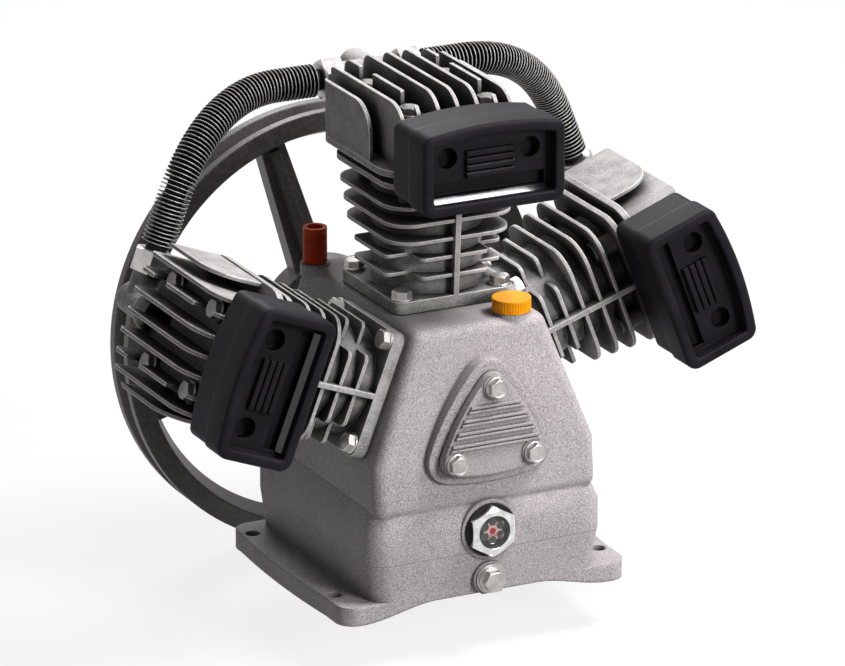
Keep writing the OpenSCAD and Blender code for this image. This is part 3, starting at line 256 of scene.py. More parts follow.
PARTING_HEIGHT = 42.7 * MM
PARTING_WIDTH = 0.5 * MM
WINDOW_ALPHA = 0.06
# Near-black painted shade that the castings take between their fins.
PAINTED_GAP_SHADE = (0.006, 0.005, 0.006)
BARE_METAL = (0.40, 0.39, 0.38)
STAR = {"lobe_at": 10.7 * MM, "lobe": 5.3 * MM, "tip": 10.0 * MM, "spot": 2.3 * MM, "soft": 0.25 * MM}
STAR_GROUND = (0.008, 0.007, 0.008)
STAR_SILVER = ((0.50, 0.30, 0.28), (0.80, 0.56, 0.54))
STAR_RED = (0.40, 0.02, 0.015)
GLASS = ((0.80, 0.82, 0.82), (0.95, 0.96, 0.96))


def case_paint(colours):
    """Silver hammered paint: fine bright flakes, painted shade darkening the corners, a parting line round the
    sump.
    """
    paint = Paint("case_paint")
    speckle = paint.noise(1050, detail=2.5, roughness=0.7)
    flake = paint.cells(1100)
    cloud = paint.noise(24, detail=4)
    # Ambient occlusion mask that places the painted shade in the corners.
    corners = paint.open_sky(22 * MM)
    _, _, height = paint.axes()
    line = 1 - (height - PARTING_HEIGHT).math("ABSOLUTE").between(0.3 * PARTING_WIDTH, PARTING_WIDTH)
    base = Vector(colours.case)
    tone = speckle.between(0.38, 0.62) * 0.7 + flake.between(0.2, 0.6) * 0.2 + cloud.between(0.3, 0.7) * 0.1
    flakes = paint.mix(tone, base * 0.46, base * 1.34)
    marked = paint.mix(line * 0.45, flakes, base * 0.35)
    # Painted shade: the paint darkens towards base * 0.16 in the corners.
    shade = paint.mix(corners.between(0.05, 0.85), base * 0.16, marked)
    relief = paint.bump(speckle - line, 0.30, 0.5 * MM, paint.rounded_edges(3 * MM))
    return paint.finish(
        Base_Color=shade,
        Metallic=0.05,
        Roughness=0.46 + speckle * 0.24,
        Normal=relief,
        Specular_IOR_Level=0.18,
    )


def casting(colours):
    """Raw cast aluminium: a dull sandy skin, bright along its edges, with painted shade darkening it between
    the fins.
    """
    paint = Paint("cast_aluminium")
    sand = paint.noise(760, detail=3, roughness=0.72)
    cloud = paint.noise(70, detail=4)
    # Ambient occlusion mask that places the painted shade between the fins.
    gap_shade_mask = paint.open_sky(28 * MM, samples=8)
    edges = paint.rounded_edges(1.3 * MM)
    rim = paint.near_edge(edges).between(0.01, 0.14)
    base = Vector(colours.casting)
    skin = paint.mix(cloud.between(0.25, 0.75), base * 0.36, base * 0.70)
    grains = paint.mix(sand.between(0.42, 0.66) * 0.6, skin, base)
    worn = paint.mix(rim * (0.5 + sand * 0.9), grains, base * 1.35)
    # Painted shade: the colour falls to near black between the fins.
    shade = paint.mix(gap_shade_mask.between(0.22, 0.88), PAINTED_GAP_SHADE, worn)
    relief = paint.bump(sand, 0.34, 0.4 * MM, edges)
    return paint.finish(
        Base_Color=shade,
        Metallic=0.05 + rim * 0.4,
        Roughness=0.54 + cloud * 0.2 - rim * 0.18,
        Normal=relief,
        Specular_IOR_Level=0.2,
    )


def filter_plastic(colours):
    """Satin black plastic with a fine spark-eroded grain, polished on its edges and on the slanted lip, with
    painted shade in its hollows.
    """
    paint = Paint("filter_plastic")
    grain = paint.noise(1800, detail=2)
    haze = paint.noise(35, detail=3)
    # Ambient occlusion mask that places the painted shade in the hollows.
    hollow_shade_mask = paint.open_sky(12 * MM)
    edges = paint.rounded_edges(1.6 * MM)
    rim = paint.near_edge(edges).between(0.02, 0.30)
    polish = paint.mark("polish")
    base = Vector(colours.plastic)
    face = paint.mix(haze.between(0.3, 0.7), base * 0.75, base * 1.35)
    # Painted shade: the plastic darkens to base * 0.2 in the hollows.
    shade = paint.mix(hollow_shade_mask.between(0.1, 0.8), base * 0.2, face)
    relief = paint.bump(grain, 0.18, 0.3 * MM, edges)
    return paint.finish(
        Base_Color=shade,
        Roughness=0.46 + haze * 0.14 - rim * 0.14,
        Normal=relief,
        Specular_IOR_Level=0.08,
        Coat_Weight=polish + rim * 0.25,
        Coat_Roughness=0.12,
    )


def wheel_paint(colours):
    """Dark paint over a coarse iron casting."""
    paint = Paint("wheel_paint")
    cast = paint.noise(330, detail=4, roughness=0.65)
    cloud = paint.noise(18, detail=3)
    base = Vector(colours.wheel)
    shade = paint.mix(cast.between(0.3, 0.7) * 0.6 + cloud.between(0.3, 0.7) * 0.4, base * 0.6, base * 1.5)
    relief = paint.bump(cast, 0.35, 0.7 * MM, paint.rounded_edges(1.8 * MM))
    return paint.finish(Base_Color=shade, Metallic=0.35, Roughness=0.36 + cast * 0.2, Normal=relief)


def plated(name, colour, roughness):
    """Plated or bare metal with faint stains and a fine drawn grain."""
    paint = Paint(name)
    stain = paint.noise(120, detail=4)
    fine = paint.noise(900, detail=2)
    base = Vector(colour)
    shade = paint.mix(stain.between(0.3, 0.7), base * 0.78, base * 1.08)
    relief = paint.bump(fine, 0.10, 0.2 * MM, paint.rounded_edges(0.6 * MM))
    return paint.finish(Base_Color=shade, Metallic=1.0, Roughness=roughness + stain * 0.14, Normal=relief)


def moulded(name, colour, roughness, grain=1500):
    """Moulded plastic, rubber or sheet with a slight mottle."""
    paint = Paint(name)
    mottle = paint.noise(90, detail=3)
    fine = paint.noise(grain, detail=2)
    base = Vector(colour)
    shade = paint.mix(mottle.between(0.3, 0.7), base * 0.85, base * 1.12)
    relief = paint.bump(fine, 0.15, 0.3 * MM, paint.rounded_edges(0.8 * MM))
    return paint.finish(
        Base_Color=shade,
        Roughness=roughness + mottle * 0.12,
        Normal=relief,
        Specular_IOR_Level=0.15,
    )


def tube_paint(colours):
    """Black paint on a finned tube, worn to bright metal on the fins' edges, with painted shade darkening the
    paint between the fins.
    """
    paint = Paint("tube_paint")
    rim = paint.mark("fin_rim")
    wear = paint.noise(260, detail=4)
    # Ambient occlusion mask that places the painted shade between the fins.
    gap_shade_mask = paint.open_sky(6 * MM)
    base = Vector(colours.tube)
    bare = rim.between(0.5, 0.95) * (0.55 + wear.between(0.3, 0.6) * 0.45)
    # Painted shade: the black falls to base * 0.15 between the fins.
    black = paint.mix(gap_shade_mask.between(0.1, 0.7), base * 0.15, base)
    shade = paint.mix(bare, black, BARE_METAL)
    relief = paint.bump(wear, 0.15, 0.4 * MM)
    return paint.finish(
        Base_Color=shade,
        Metallic=bare * 0.5,
        Roughness=0.52 + wear * 0.14 - bare * 0.1,
        Normal=relief,
        Specular_IOR_Level=0.1,
    )


def star_foil():
    """Six-pointed reflector behind the sight glass, red in its middle, on a black ground."""
    paint = Paint("star_foil")
    low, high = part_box("sight_glass_star")
    middle = (low + high) / 2
    x, _, z = paint.axes()
    x, z = x - middle.x, z - middle.z
    away = (x ** 2 + z ** 2) ** 0.5
    turn = z.math("ARCTAN2", x)
    fold = (turn + 2 * math.pi).math("MODULO", math.pi / 3) - math.pi / 6
    along, beside = away * fold.math("COSINE"), away * fold.math("SINE")
    to_lobe = ((along - STAR["lobe_at"]) ** 2 + beside ** 2) ** 0.5
    star = to_lobe.between(STAR["lobe"], STAR["lobe"] + STAR["soft"])
    star = star * (1 - away.between(STAR["tip"], STAR["tip"] + STAR["soft"]))
    spot = 1 - away.between(STAR["spot"], STAR["spot"] + 2 * STAR["soft"])
    fine = paint.noise(1500, detail=2)
    pointed = paint.mix(star, STAR_GROUND, paint.mix(fine, *STAR_SILVER))
    shade = paint.mix(spot, pointed, STAR_RED)
    relief = paint.bump(fine, 0.1, 0.2 * MM)
    return paint.finish(
        Base_Color=shade,
        Metallic=star * 0.4 - spot * star * 0.4,
        Roughness=0.34 + fine * 0.1,
        Normal=relief,
        Specular_IOR_Level=0.1,
    )


def sight_glass():
    """Clear window with faint smears, thin enough to show the star behind it."""
    paint = Paint("sight_glass")
    smear = paint.noise(180, detail=3)
    return paint.finish(
        Base_Color=paint.mix(smear, *GLASS),
        Roughness=0.04 + smear * 0.05,
        Alpha=WINDOW_ALPHA,
    )


BANK_TILT = math.radians(69)
BANK_TURN = {"left": -BANK_TILT, "centre": 0.0, "right": BANK_TILT}
BANK_Y = {"left": -34 * MM, "centre": -3 * MM, "right": 28 * MM}
BARE_END = 23 * MM
CRANK_HEIGHT = 134.5 * MM
TUBE_START = 23 * MM
ROUTE_STEPS = 120
CORE_SIDES = 20
FIN_SIDES = 28
RIM_SIDES = 6
FIN_WEB = 0.45
BOLT = {"across": 13 * MM, "height": 5.3 * MM, "washer": 16 * MM, "thickness": 1.6 * MM}
BOLT_SIDES = 36
BOLT_CHAMFER = math.radians(30)
CROWN_SHARE = 0.94
DISH_SHARE = 0.8
DISH_DEPTH = 0.3 * MM
WASHER_BEVEL = 0.3


def ease(t):
    """Smooth rise from 0 to 1."""
    return t * t * (3 - 2 * t)


def bank_aim(bank):
    """Direction from the crankshaft out along a cylinder."""
    return Vector((math.sin(BANK_TURN[bank]), 0.0, math.cos(BANK_TURN[bank])))


def add_object(name, data):
    """A new object at the origin."""
    made = bpy.data.objects.new(name, data)
    bpy.context.scene.collection.objects.link(made)
    return made


def give_finish(mesh, material):
    """Makes the material the only one of a mesh."""
    mesh.materials.clear()
    mesh.materials.append(material)
    mesh.polygons.foreach_set("material_index", [0] * len(mesh.polygons))


def applied(host, name):
    """The mesh that an object's modifiers make. The object is used up."""
    bpy.context.view_layer.update()
    seen = host.evaluated_get(bpy.context.evaluated_depsgraph_get())
    mesh = bpy.data.meshes.new_from_object(seen)
    mesh.name = name
    bpy.data.objects.remove(host)
    if not mesh.polygons:
        raise RuntimeError(f"{name} came out empty")
    return mesh


class Graph(Nodes):
    """A Geometry Nodes tree with named inputs, kept as a modifier only until it is applied."""

    def __init__(self, name, inputs):
        super().__init__(bpy.data.node_groups.new(name, "GeometryNodeTree"))
        face = self.tree.interface
        face.new_socket("Geometry", in_out="INPUT", socket_type="NodeSocketGeometry")
        face.new_socket("Geometry", in_out="OUTPUT", socket_type="NodeSocketGeometry")
        self.keys = {
            label: face.new_socket(label, in_out="INPUT", socket_type="NodeSocket" + kind).identifier
            for label, kind in inputs.items()
        }
        self.start = self.node("NodeGroupInput")
        self.end = self.node("NodeGroupOutput")

    def given(self, label):
        return self.start.outputs[label]

    def make(self, kind, settings=None, inputs=None):
        """The first output of a new node."""
        return self.node(kind, settings, inputs).outputs[0]

    def math(self, operation, a, b):
        return self.make("ShaderNodeMath", {"operation": operation}, {0: a, 1: b})

    def circle(self, sides, radius):
        return self.make("GeometryNodeCurvePrimitiveCircle", None, {"Resolution": sides, "Radius": radius})

    def sweep(self, line, section):
        return self.make("GeometryNodeCurveToMesh", None, {"Curve": line, "Profile Curve": section})

    def join(self, *pieces):
        return self.make("GeometryNodeJoinGeometry", None, {0: list(pieces)})

    def stand(self, points, piece, aim):
        """The piece on every point, its Z axis along the aim."""
        turn = self.make("FunctionNodeAlignRotationToVector", {"axis": "Z"}, {"Vector": aim})
        inputs = {"Points": points, "Instance": piece, "Rotation": turn}
        return self.make("GeometryNodeInstanceOnPoints", None, inputs)

    def close(self, geometry):
        """Realizes the instances, sets the material and ends the tree."""
        real = self.make("GeometryNodeRealizeInstances", None, {0: geometry})
        inputs = {"Geometry": real, "Material": self.given("Material")}
        self.tree.links.new(self.make("GeometryNodeSetMaterial", None, inputs), self.end.inputs[0])

    def run(self, piece, seed, values):
        """A plain mesh object made from the seed mesh with these input values."""
        host = add_object(piece + "_seed", seed)
        modifier = host.modifiers.new(self.tree.name, "NODES")
        modifier.node_group = self.tree
        for label, value in values.items():
            modifier[self.keys[label]] = value
        mesh = applied(host, piece)
        give_finish(mesh, values["Material"])
        return add_object(piece, mesh)


def finned_tube_graph():
    """Tube with rolled fins along the seed mesh's line of edges."""
    graph = Graph("finned_tube", {
        "Tube Radius": "Float", "Fin Radius": "Float", "Fin Edge": "Float",
        "Bare End": "Float", "Fins": "Int", "Material": "Material",
    })
    line = graph.make("GeometryNodeMeshToCurve", None, {"Mesh": graph.given("Geometry")})
    core = graph.sweep(line, graph.circle(CORE_SIDES, graph.given("Tube Radius")))
    whole = graph.make("GeometryNodeCurveLength", None, {0: line})
    middle = graph.node("GeometryNodeTrimCurve", {"mode": "LENGTH"}, {"Curve": line})
    ends = [s for s in middle.inputs if s.enabled and s.type == "VALUE"]
    graph.tree.links.new(graph.given("Bare End"), ends[0])
    graph.tree.links.new(graph.math("SUBTRACT", whole, graph.given("Bare End")), ends[1])
    count = {"Curve": middle.outputs[0], "Count": graph.given("Fins")}
    places = graph.make("GeometryNodeResampleCurve", None, count)
    half_edge = graph.math("DIVIDE", graph.given("Fin Edge"), 2.0)
    rim_line = graph.math("SUBTRACT", graph.given("Fin Radius"), half_edge)
    web = graph.math("MULTIPLY", graph.given("Fin Edge"), FIN_WEB)
    plate = {"Vertices": FIN_SIDES, "Radius": rim_line, "Depth": web}
    disc = graph.make("GeometryNodeMeshCylinder", {"fill_type": "NGON"}, plate)
    rim = graph.sweep(graph.circle(FIN_SIDES, rim_line), graph.circle(RIM_SIDES, half_edge))
    marked = graph.make(
        "GeometryNodeStoreNamedAttribute",
        {"data_type": "FLOAT", "domain": "POINT"},
        {"Geometry": rim, "Name": "fin_rim", "Value": 1.0},
    )
    fins = graph.stand(places, graph.join(disc, marked), graph.make("GeometryNodeInputTangent"))
    smooth = graph.make("GeometryNodeSetShadeSmooth", None, {"Geometry": core})
    graph.close(graph.join(smooth, fins))
    return graph


def bolt_graph():
    """A bolt head at each seed point, its axis along the point's aim."""
    graph = Graph("bolt_set", {"Head": "Object", "Material": "Material"})
    head = graph.node("GeometryNodeObjectInfo", None, {"Object": graph.given("Head")}).outputs["Geometry"]
    aim = graph.make("GeometryNodeInputNamedAttribute", {"data_type": "FLOAT_VECTOR"}, {"Name": "aim"})
    points = graph.make("GeometryNodeMeshToPoints", None, {"Mesh": graph.given("Geometry")})
    graph.close(graph.stand(points, head, aim))
    return graph


def line_mesh(name, points):
    """Points joined by edges in their order."""
    mesh = bpy.data.meshes.new(name)
    mesh.from_pydata(points, [(k, k + 1) for k in range(len(points) - 1)], [])
    return mesh


def tube_route(sizes, bank):
    """Centre line of a cooling tube from a side head to the middle one."""
    tilt, bend, high = BANK_TILT, sizes.tube_bend, sizes.tube_radius
    run = (high - bend) * math.tan(tilt / 2) - TUBE_START
    sweep = bend * tilt
    whole = 2 * run + sweep
    from_centre = (high - bend) / math.cos(tilt / 2)
    side = 1 if bank == "left" else -1
    start_y, end_y = BANK_Y[bank], BANK_Y["centre"]
    points = []
    for k in range(ROUTE_STEPS + 1):
        s = whole * k / ROUTE_STEPS
        if s < run:
            t = TUBE_START + s
            x = -high * math.sin(tilt) + t * math.cos(tilt)
            z = high * math.cos(tilt) + t * math.sin(tilt)
        elif s < run + sweep:
            a = tilt * (1 - (s - run) / sweep)
            x = -from_centre * math.sin(tilt / 2) - bend * math.sin(a)
            z = from_centre * math.cos(tilt / 2) + bend * math.cos(a)
        else:
            x, z = -(TUBE_START + whole - s), high
        u = min(max((s - run) / sweep, 0), 1)
        y = start_y + sizes.tube_back + (end_y - start_y) * ease(u)
        points.append((side * x, y, CRANK_HEIGHT + z))
    return points


def islands(node):
    """Corner lists of the separate solids in a CAD node."""
    places, parent = {}, []

    def root(k):
        while parent[k] != k:
            parent[k] = parent[parent[k]]
            k = parent[k]
        return k

    mesh = NODES[node].data
    number = []
    for vertex in mesh.vertices:
        key = tuple(round(c * 1e6) for c in vertex.co)
        if key not in places:
            places[key] = len(parent)
            parent.append(len(parent))
        number.append(places[key])
    for face in mesh.polygons:
        first = root(number[face.vertices[0]])
        for v in face.vertices[1:]:
            parent[root(number[v])] = first
    groups = {}
    for vertex, k in zip(mesh.vertices, number):
        groups.setdefault(root(k), []).append(vertex.co.copy())
    return list(groups.values())


def bolt_head(name, across, height, washer, thickness):
    """Chamfered hexagon head on a washer, standing on its seat and pointing along Z."""
    half, outer, top = across / 2, washer / 2, thickness + height
    crown, bevel = half * CROWN_SHARE, thickness * WASHER_BEVEL

    def flat(a):
        return half / math.cos((a + math.pi / 6) % (math.pi / 3) - math.pi / 6)

    def chamfer(a):
        return top - (flat(a) - crown) * math.tan(BOLT_CHAMFER)

    rings = [
        (lambda a: outer, lambda a: 0.0),
        (lambda a: outer, lambda a: thickness - bevel),
        (lambda a: outer - bevel, lambda a: thickness),
        (flat, lambda a: thickness),
        (flat, chamfer),
        (lambda a: crown, lambda a: top),
        (lambda a: crown * DISH_SHARE, lambda a: top - DISH_DEPTH),
    ]
    points, faces = [], []
    for radius, level in rings:
        for k in range(BOLT_SIDES):
            a = 2 * math.pi * k / BOLT_SIDES
            points.append((radius(a) * math.cos(a), radius(a) * math.sin(a), level(a)))
    for low in range(0, len(points) - BOLT_SIDES, BOLT_SIDES):
        high = low + BOLT_SIDES
        for k in range(BOLT_SIDES):
            n = (k + 1) % BOLT_SIDES
            faces.append((low + k, low + n, high + n, high + k))
    faces += [tuple(range(len(points) - BOLT_SIDES, len(points))), tuple(reversed(range(BOLT_SIDES)))]
    mesh = bpy.data.meshes.new(name)
    mesh.from_pydata(points, [], faces)
    return bpy.data.objects.new(name, mesh)


def paint_nodes(material, *names):
    """Gives CAD nodes a finish."""
    for name in names:
        slots = NODES[name].data.materials
        slots.clear()
        slots.append(material)


def each_bank(stem):
    return [f"{stem}_{bank}" for bank in BANKS]


COVER = {"corner": 9 * MM, "least_corner": 3 * MM, "bow": 4 * MM, "bezel": 8 * MM, "recess": 11 * MM}
COVER_ROUND = {"front": 3 * MM, "inner": 1.2 * MM, "steps": 5}
COVER_HOLES = {"apart": 66 * MM, "diameter": 16 * MM, "up": 40 * MM, "depth": 9 * MM}
COVER_SLOT = {"up": 11.5 * MM, "height": 10 * MM, "end": 12 * MM, "depth": 6 * MM}
COVER_RIBS = {"count": 4, "up": 24 * MM, "step": 5.4 * MM, "height": 4.4 * MM, "half": 19 * MM, "out": 4 * MM}
COVER_LIP = {"out": 5 * MM, "up": 7 * MM}
COVER_SHARP = math.radians(38)
RIB_SOFT = 0.7 * MM
SEAT_DEPTH = 0.2 * MM
CORNER_STEPS = 7
HOLE_STEPS = 8
BOW_STEPS = 24


def arc(cx, cy, radius, start, steps):
    """A quarter turn of points, anticlockwise from the start angle in quarters."""
    turns = [(start + k / steps) * math.pi / 2 for k in range(steps + 1)]
    return [(cx + radius * math.cos(a), cy + radius * math.sin(a)) for a in turns]


def cover_outline(half, low, high, inset):
    """Cover's outline seen from the front: straight sides, round corners and a bowed outer side."""
    half, low, high = half - inset, low + inset, high - inset
    r, bow = max(COVER["corner"] - inset, COVER["least_corner"]), COVER["bow"]
    chord, shoulder = half - r, high - bow
    bow_radius = (chord * chord + bow * bow) / (2 * bow)
    swing = math.asin(chord / bow_radius)
    top = [swing * (1 - 2 * k / BOW_STEPS) for k in range(1, BOW_STEPS)]
    return [
        *arc(-chord, low + r, r, 2, CORNER_STEPS),
        *arc(chord, low + r, r, 3, CORNER_STEPS),
        *arc(chord, shoulder - r, r, 0, CORNER_STEPS),
        *[(bow_radius * math.sin(a), high - bow_radius * (1 - math.cos(a))) for a in top],
        *arc(-chord, shoulder - r, r, 1, CORNER_STEPS),
    ]


def box_outline(x0, x1, y0, y1):
    return [(x0, y0), (x1, y0), (x1, y1), (x0, y1)]


class Moulding:
    """A closed mesh made of rings of points: across, back from the front face, and out from the crankshaft."""

    def __init__(self):
        self.points, self.faces, self.polished = [], [], []

    def ring(self, outline, back):
        first = len(self.points)
        self.points += [(x, back, out) for x, out in outline]
        return list(range(first, len(self.points)))

    def skin(self, *rings):
        """Joins rings of the same length, each to the next."""
        for a, b in zip(rings, rings[1:]):
            n = len(a)
            self.faces += [(a[k], a[(k + 1) % n], b[(k + 1) % n], b[k]) for k in range(n)]

    def floor(self, outer, holes):
        """Fills a ring, leaving the rings inside it open."""
        loops = [outer, *holes]
        flat = [[Vector((self.points[k][0], self.points[k][2], 0.0)) for k in loop] for loop in loops]
        names = [k for loop in loops for k in loop]
        self.faces += [tuple(names[k] for k in corner) for corner in tessellate_polygon(flat)]

    def cap(self, ring):
        self.faces.append(tuple(ring))

    def build(self, name, place, material):
        """A smooth object with every point put in its place."""
        mesh = bpy.data.meshes.new(name)
        mesh.from_pydata([place(*point) for point in self.points], [], self.faces)
        shape = bmesh.new()
        shape.from_mesh(mesh)
        bmesh.ops.recalc_face_normals(shape, faces=shape.faces)
        shape.to_mesh(mesh)
        shape.free()
        mesh.shade_smooth()
        mesh.set_sharp_from_angle(angle=COVER_SHARP)
        polish = mesh.attributes.new("polish", "FLOAT", "POINT")
        for k in self.polished:
            polish.data[k].value = 1.0
        mesh.materials.append(material)
        return add_object(name, mesh)


def rounded_profile(depth):
    """Inset and depth of the cover's rings, from its back edge over the bezel to the recess floor."""
    outer, inner, bezel = COVER_ROUND["front"], COVER_ROUND["inner"], COVER["bezel"]
    turns = [k * math.pi / 2 / COVER_ROUND["steps"] for k in range(COVER_ROUND["steps"] + 1)]
    return [
        (0.0, depth),
        *[(outer - outer * math.cos(a), outer - outer * math.sin(a)) for a in turns],
        *[(bezel - inner + inner * math.sin(a), inner - inner * math.cos(a)) for a in turns],
        (bezel, COVER["recess"]),
    ]


def moulded_cover(bank, material):
    """Filter cover with rounded edges, its intake holes, slot, ribs and slanted lip."""
    low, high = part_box("filter_cover_centre")
    half, depth = high.x, high.y - low.y
    low_out, high_out = low.z - CRANK_HEIGHT, high.z - CRANK_HEIGHT
    front = low.y - BANK_Y["centre"]
    shape = Moulding()
    rings = [
        shape.ring(cover_outline(half, low_out, high_out, inset), back)
        for inset, back in rounded_profile(depth)
    ]
    shape.skin(*rings)
    shape.cap(rings[0])
    recess = COVER["recess"]
    slot_half = half - COVER_SLOT["end"]
    slot_low = low_out + COVER_SLOT["up"]
    slot = box_outline(-slot_half, slot_half, slot_low, slot_low + COVER_SLOT["height"])
    openings = [(slot, COVER_SLOT["depth"])]
    for side in (-1, 1):
        middle = side * COVER_HOLES["apart"] / 2, low_out + COVER_HOLES["up"]
        quarters = [arc(*middle, COVER_HOLES["diameter"] / 2, k, HOLE_STEPS)[:-1] for k in range(4)]
        openings.append((sum(quarters, []), COVER_HOLES["depth"]))
    mouths = []
    for outline, deep in openings:
        mouth, bottom = shape.ring(outline, recess), shape.ring(outline, recess + deep)
        shape.skin(mouth, bottom)
        shape.cap(bottom)
        mouths.append(mouth)
    shape.floor(rings[-1], mouths)
    for k in range(COVER_RIBS["count"]):
        add_rib(shape, low_out + COVER_RIBS["up"] + k * COVER_RIBS["step"], recess)
    add_lip(shape, slot_half, low_out, slot_low, recess)
    aim = bank_aim(bank)
    across = Vector((aim.z, 0.0, -aim.x))
    origin = Vector((0.0, BANK_Y[bank] + front, CRANK_HEIGHT))

    def place(x, back, out):
        return origin + across * x + aim * out + Vector((0.0, back, 0.0))

    return shape.build(f"filter_cover_{bank}_moulded", place, material)


def add_rib(shape, foot, recess):
    """A louvre bar with a softened face on the recess floor."""
    half, tall, out = COVER_RIBS["half"], COVER_RIBS["height"], COVER_RIBS["out"]
    rings = [
        shape.ring(box_outline(-half + e, half - e, foot + e, foot + tall - e), recess - up)
        for e, up in ((0.0, -SEAT_DEPTH), (0.0, out - RIB_SOFT), (RIB_SOFT, out))
    ]
    shape.skin(*rings)
    shape.cap(rings[0])
    shape.cap(rings[-1])


def add_lip(shape, half, low_out, slot_low, recess):
    """Slanted lip between the slot and the bezel, as a prism along the slot."""
    inner, outer = recess + SEAT_DEPTH, recess - COVER_LIP["out"]
    foot, top = low_out + COVER_LIP["up"], slot_low
    section = [(inner, foot), (outer, foot), (inner, top)]
    ends = []
    for x in (-half, half):
        first = len(shape.points)
        shape.points += [(x, back, out) for back, out in section]
        ends.append(list(range(first, first + len(section))))
    shape.skin(*ends)
    for end in ends:
        shape.cap(end)
        shape.polished += end


FOOT = {"half": 116 * MM, "front": -102.2 * MM, "back": -78 * MM, "thick": 14 * MM, "corner": 14 * MM}
FOOT_STEPS = 10
ARCH = {"half": 100 * MM, "run": 60 * MM, "rise": 9.5 * MM, "back": -76 * MM}
ARCH_STEPS = 24
CUT_ROOM = 5 * MM
WELD = 0.002 * MM
CASE_SHARP = math.radians(32)


def foot_outline():
    """Plan of the foot plate's front, in line with the sump, with rounded front corners."""
    half, corner = FOOT["half"], FOOT["corner"]
    across, level = half - corner, FOOT["front"] + corner
    return [
        *arc(-across, level, corner, 2, FOOT_STEPS),
        *arc(across, level, corner, 3, FOOT_STEPS),
        (half, FOOT["back"]),
        (-half, FOOT["back"]),
    ]


def arch_outline():
    """Front view of the room under the plate's lower edge, which rises smoothly from both feet."""
    half = ARCH["half"]
    steps = [k / ARCH_STEPS for k in range(ARCH_STEPS + 1)]
    rise = [(-half + ARCH["run"] * t, ARCH["rise"] * ease(t)) for t in steps]
    fall = [(-x, z) for x, z in reversed(rise)]
    return [*rise, *fall, (half, -CUT_ROOM), (-half, -CUT_ROOM)]


def prism(name, low_end, high_end):
    """A closed bar between two outlines of the same length."""
    shape = bmesh.new()
    ends = [[shape.verts.new(point) for point in end] for end in (low_end, high_end)]
    for end in ends:
        shape.faces.new(end)
    for k in range(len(low_end)):
        shape.faces.new((ends[0][k - 1], ends[0][k], ends[1][k], ends[1][k - 1]))
    bmesh.ops.recalc_face_normals(shape, faces=shape.faces)
    mesh = bpy.data.meshes.new(name)
    shape.to_mesh(mesh)
    shape.free()
    return add_object(name, mesh)


def arched_case(material):
    """The crankcase with its foot plate brought in line with the sump and arched between the feet."""
    host = add_object("crankcase_seed", NODES["crankcase"].data.copy())
    shape = bmesh.new()
    shape.from_mesh(host.data)
    bmesh.ops.remove_doubles(shape, verts=shape.verts, dist=WELD)
    shape.to_mesh(host.data)
    shape.free()
    plan, view = foot_outline(), arch_outline()
    front = prism("foot_front", *[[(x, y, z) for x, y in plan] for z in (0.0, FOOT["thick"])])
    room = prism("foot_room", *[[(x, y, z) for x, z in view] for y in (FOOT["front"] - CUT_ROOM, ARCH["back"])])
    for operation, tool in (("UNION", front), ("DIFFERENCE", room)):
        step = host.modifiers.new(operation, "BOOLEAN")
        step.operation, step.solver, step.object = operation, "EXACT", tool
    mesh = applied(host, "crankcase_arched")
    for tool in (front, room):
        bpy.data.objects.remove(tool)
    if "custom_normal" in mesh.attributes:
        mesh.attributes.remove(mesh.attributes["custom_normal"])
    mesh.shade_smooth()
    mesh.set_sharp_from_angle(angle=CASE_SHARP)
    give_finish(mesh, material)
    return add_object(mesh.name, mesh)


def aim_of_bank(middle):
    """The cylinder direction nearest to a point seen from the crankshaft."""
    out = Vector((middle.x, 0.0, middle.z - CRANK_HEIGHT)).normalized()
    return max((bank_aim(bank) for bank in BANKS), key=out.dot)


def centre_of(points):
    low = Vector(map(min, zip(*points)))
    high = Vector(map(max, zip(*points)))
    return (low + high) / 2


def bolt_seats(node, aim_at):
    """Points where the heads of a bolt node sit, each with its bolt's direction as the attribute aim."""
    seats, aims = [], []
    for solid in islands(node):
        middle = centre_of(solid)
        aim = aim_at(middle)
        seat = max(corner.dot(aim) for corner in solid) - BOLT["height"] - BOLT["thickness"]
        seats.append(middle + aim * (seat - middle.dot(aim)))
        aims.append(aim)
    mesh = bpy.data.meshes.new(node + "_seats")
    mesh.from_pydata(seats, [], [])
    layer = mesh.attributes.new("aim", "FLOAT_VECTOR", "POINT")
    layer.data.foreach_set("vector", [c for aim in aims for c in aim])
    return mesh


class PumpOperator:
    """What every step of the finish shares."""

    bl_options = {"REGISTER"}

    @property
    def colours(self):
        return bpy.context.scene.pump_colours

    @property
    def sizes(self):
        return bpy.context.scene.pump_sizes


class PUMP_OT_castings(PumpOperator, bpy.types.Operator):
    """Paint the crankcase and finish the cast cylinders, heads and fittings"""

    bl_idname = "pump.castings"
    bl_label = "Castings"

    def execute(self, context):
        silver = case_paint(self.colours)
        paint_nodes(silver, "front_cover", "rear_bearing_housing")
        made = arched_case(silver)
        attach(made, "root")
        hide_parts("crankcase")
        metal = casting(self.colours)
        for stem in ("cylinder", "head", "rod", "piston"):
            paint_nodes(metal, *each_bank(stem))
        paint_nodes(metal, "tube_elbow_left", "tube_tee", "tube_elbow_right")
        return {"FINISHED"}


class PUMP_OT_filters(PumpOperator, bpy.types.Operator):
    """Mould the filter covers with rounded edges and finish the filters in satin black"""

    bl_idname = "pump.filters"
    bl_label = "Intake filters"

    def execute(self, context):
        plastic = filter_plastic(self.colours)
        paint_nodes(plastic, *each_bank("filter_base"))
        for bank in BANKS:
            made = moulded_cover(bank, plastic)
            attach(made, "root")
            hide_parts("filter_cover_" + bank)
        paint_nodes(moulded("filter_foam", (0.12, 0.11, 0.095), 0.8, grain=500), "filter_elements")
        return {"FINISHED"}


class PUMP_OT_wheel(PumpOperator, bpy.types.Operator):
    """Paint the cast flywheel and finish its shaft end"""

    bl_idname = "pump.wheel"
    bl_label = "Flywheel"

    def execute(self, context):
        paint_nodes(wheel_paint(self.colours), "flywheel")
        paint_nodes(plated("shaft_steel", (0.46, 0.45, 0.45), 0.26), "crankshaft", "flywheel_key")
        return {"FINISHED"}


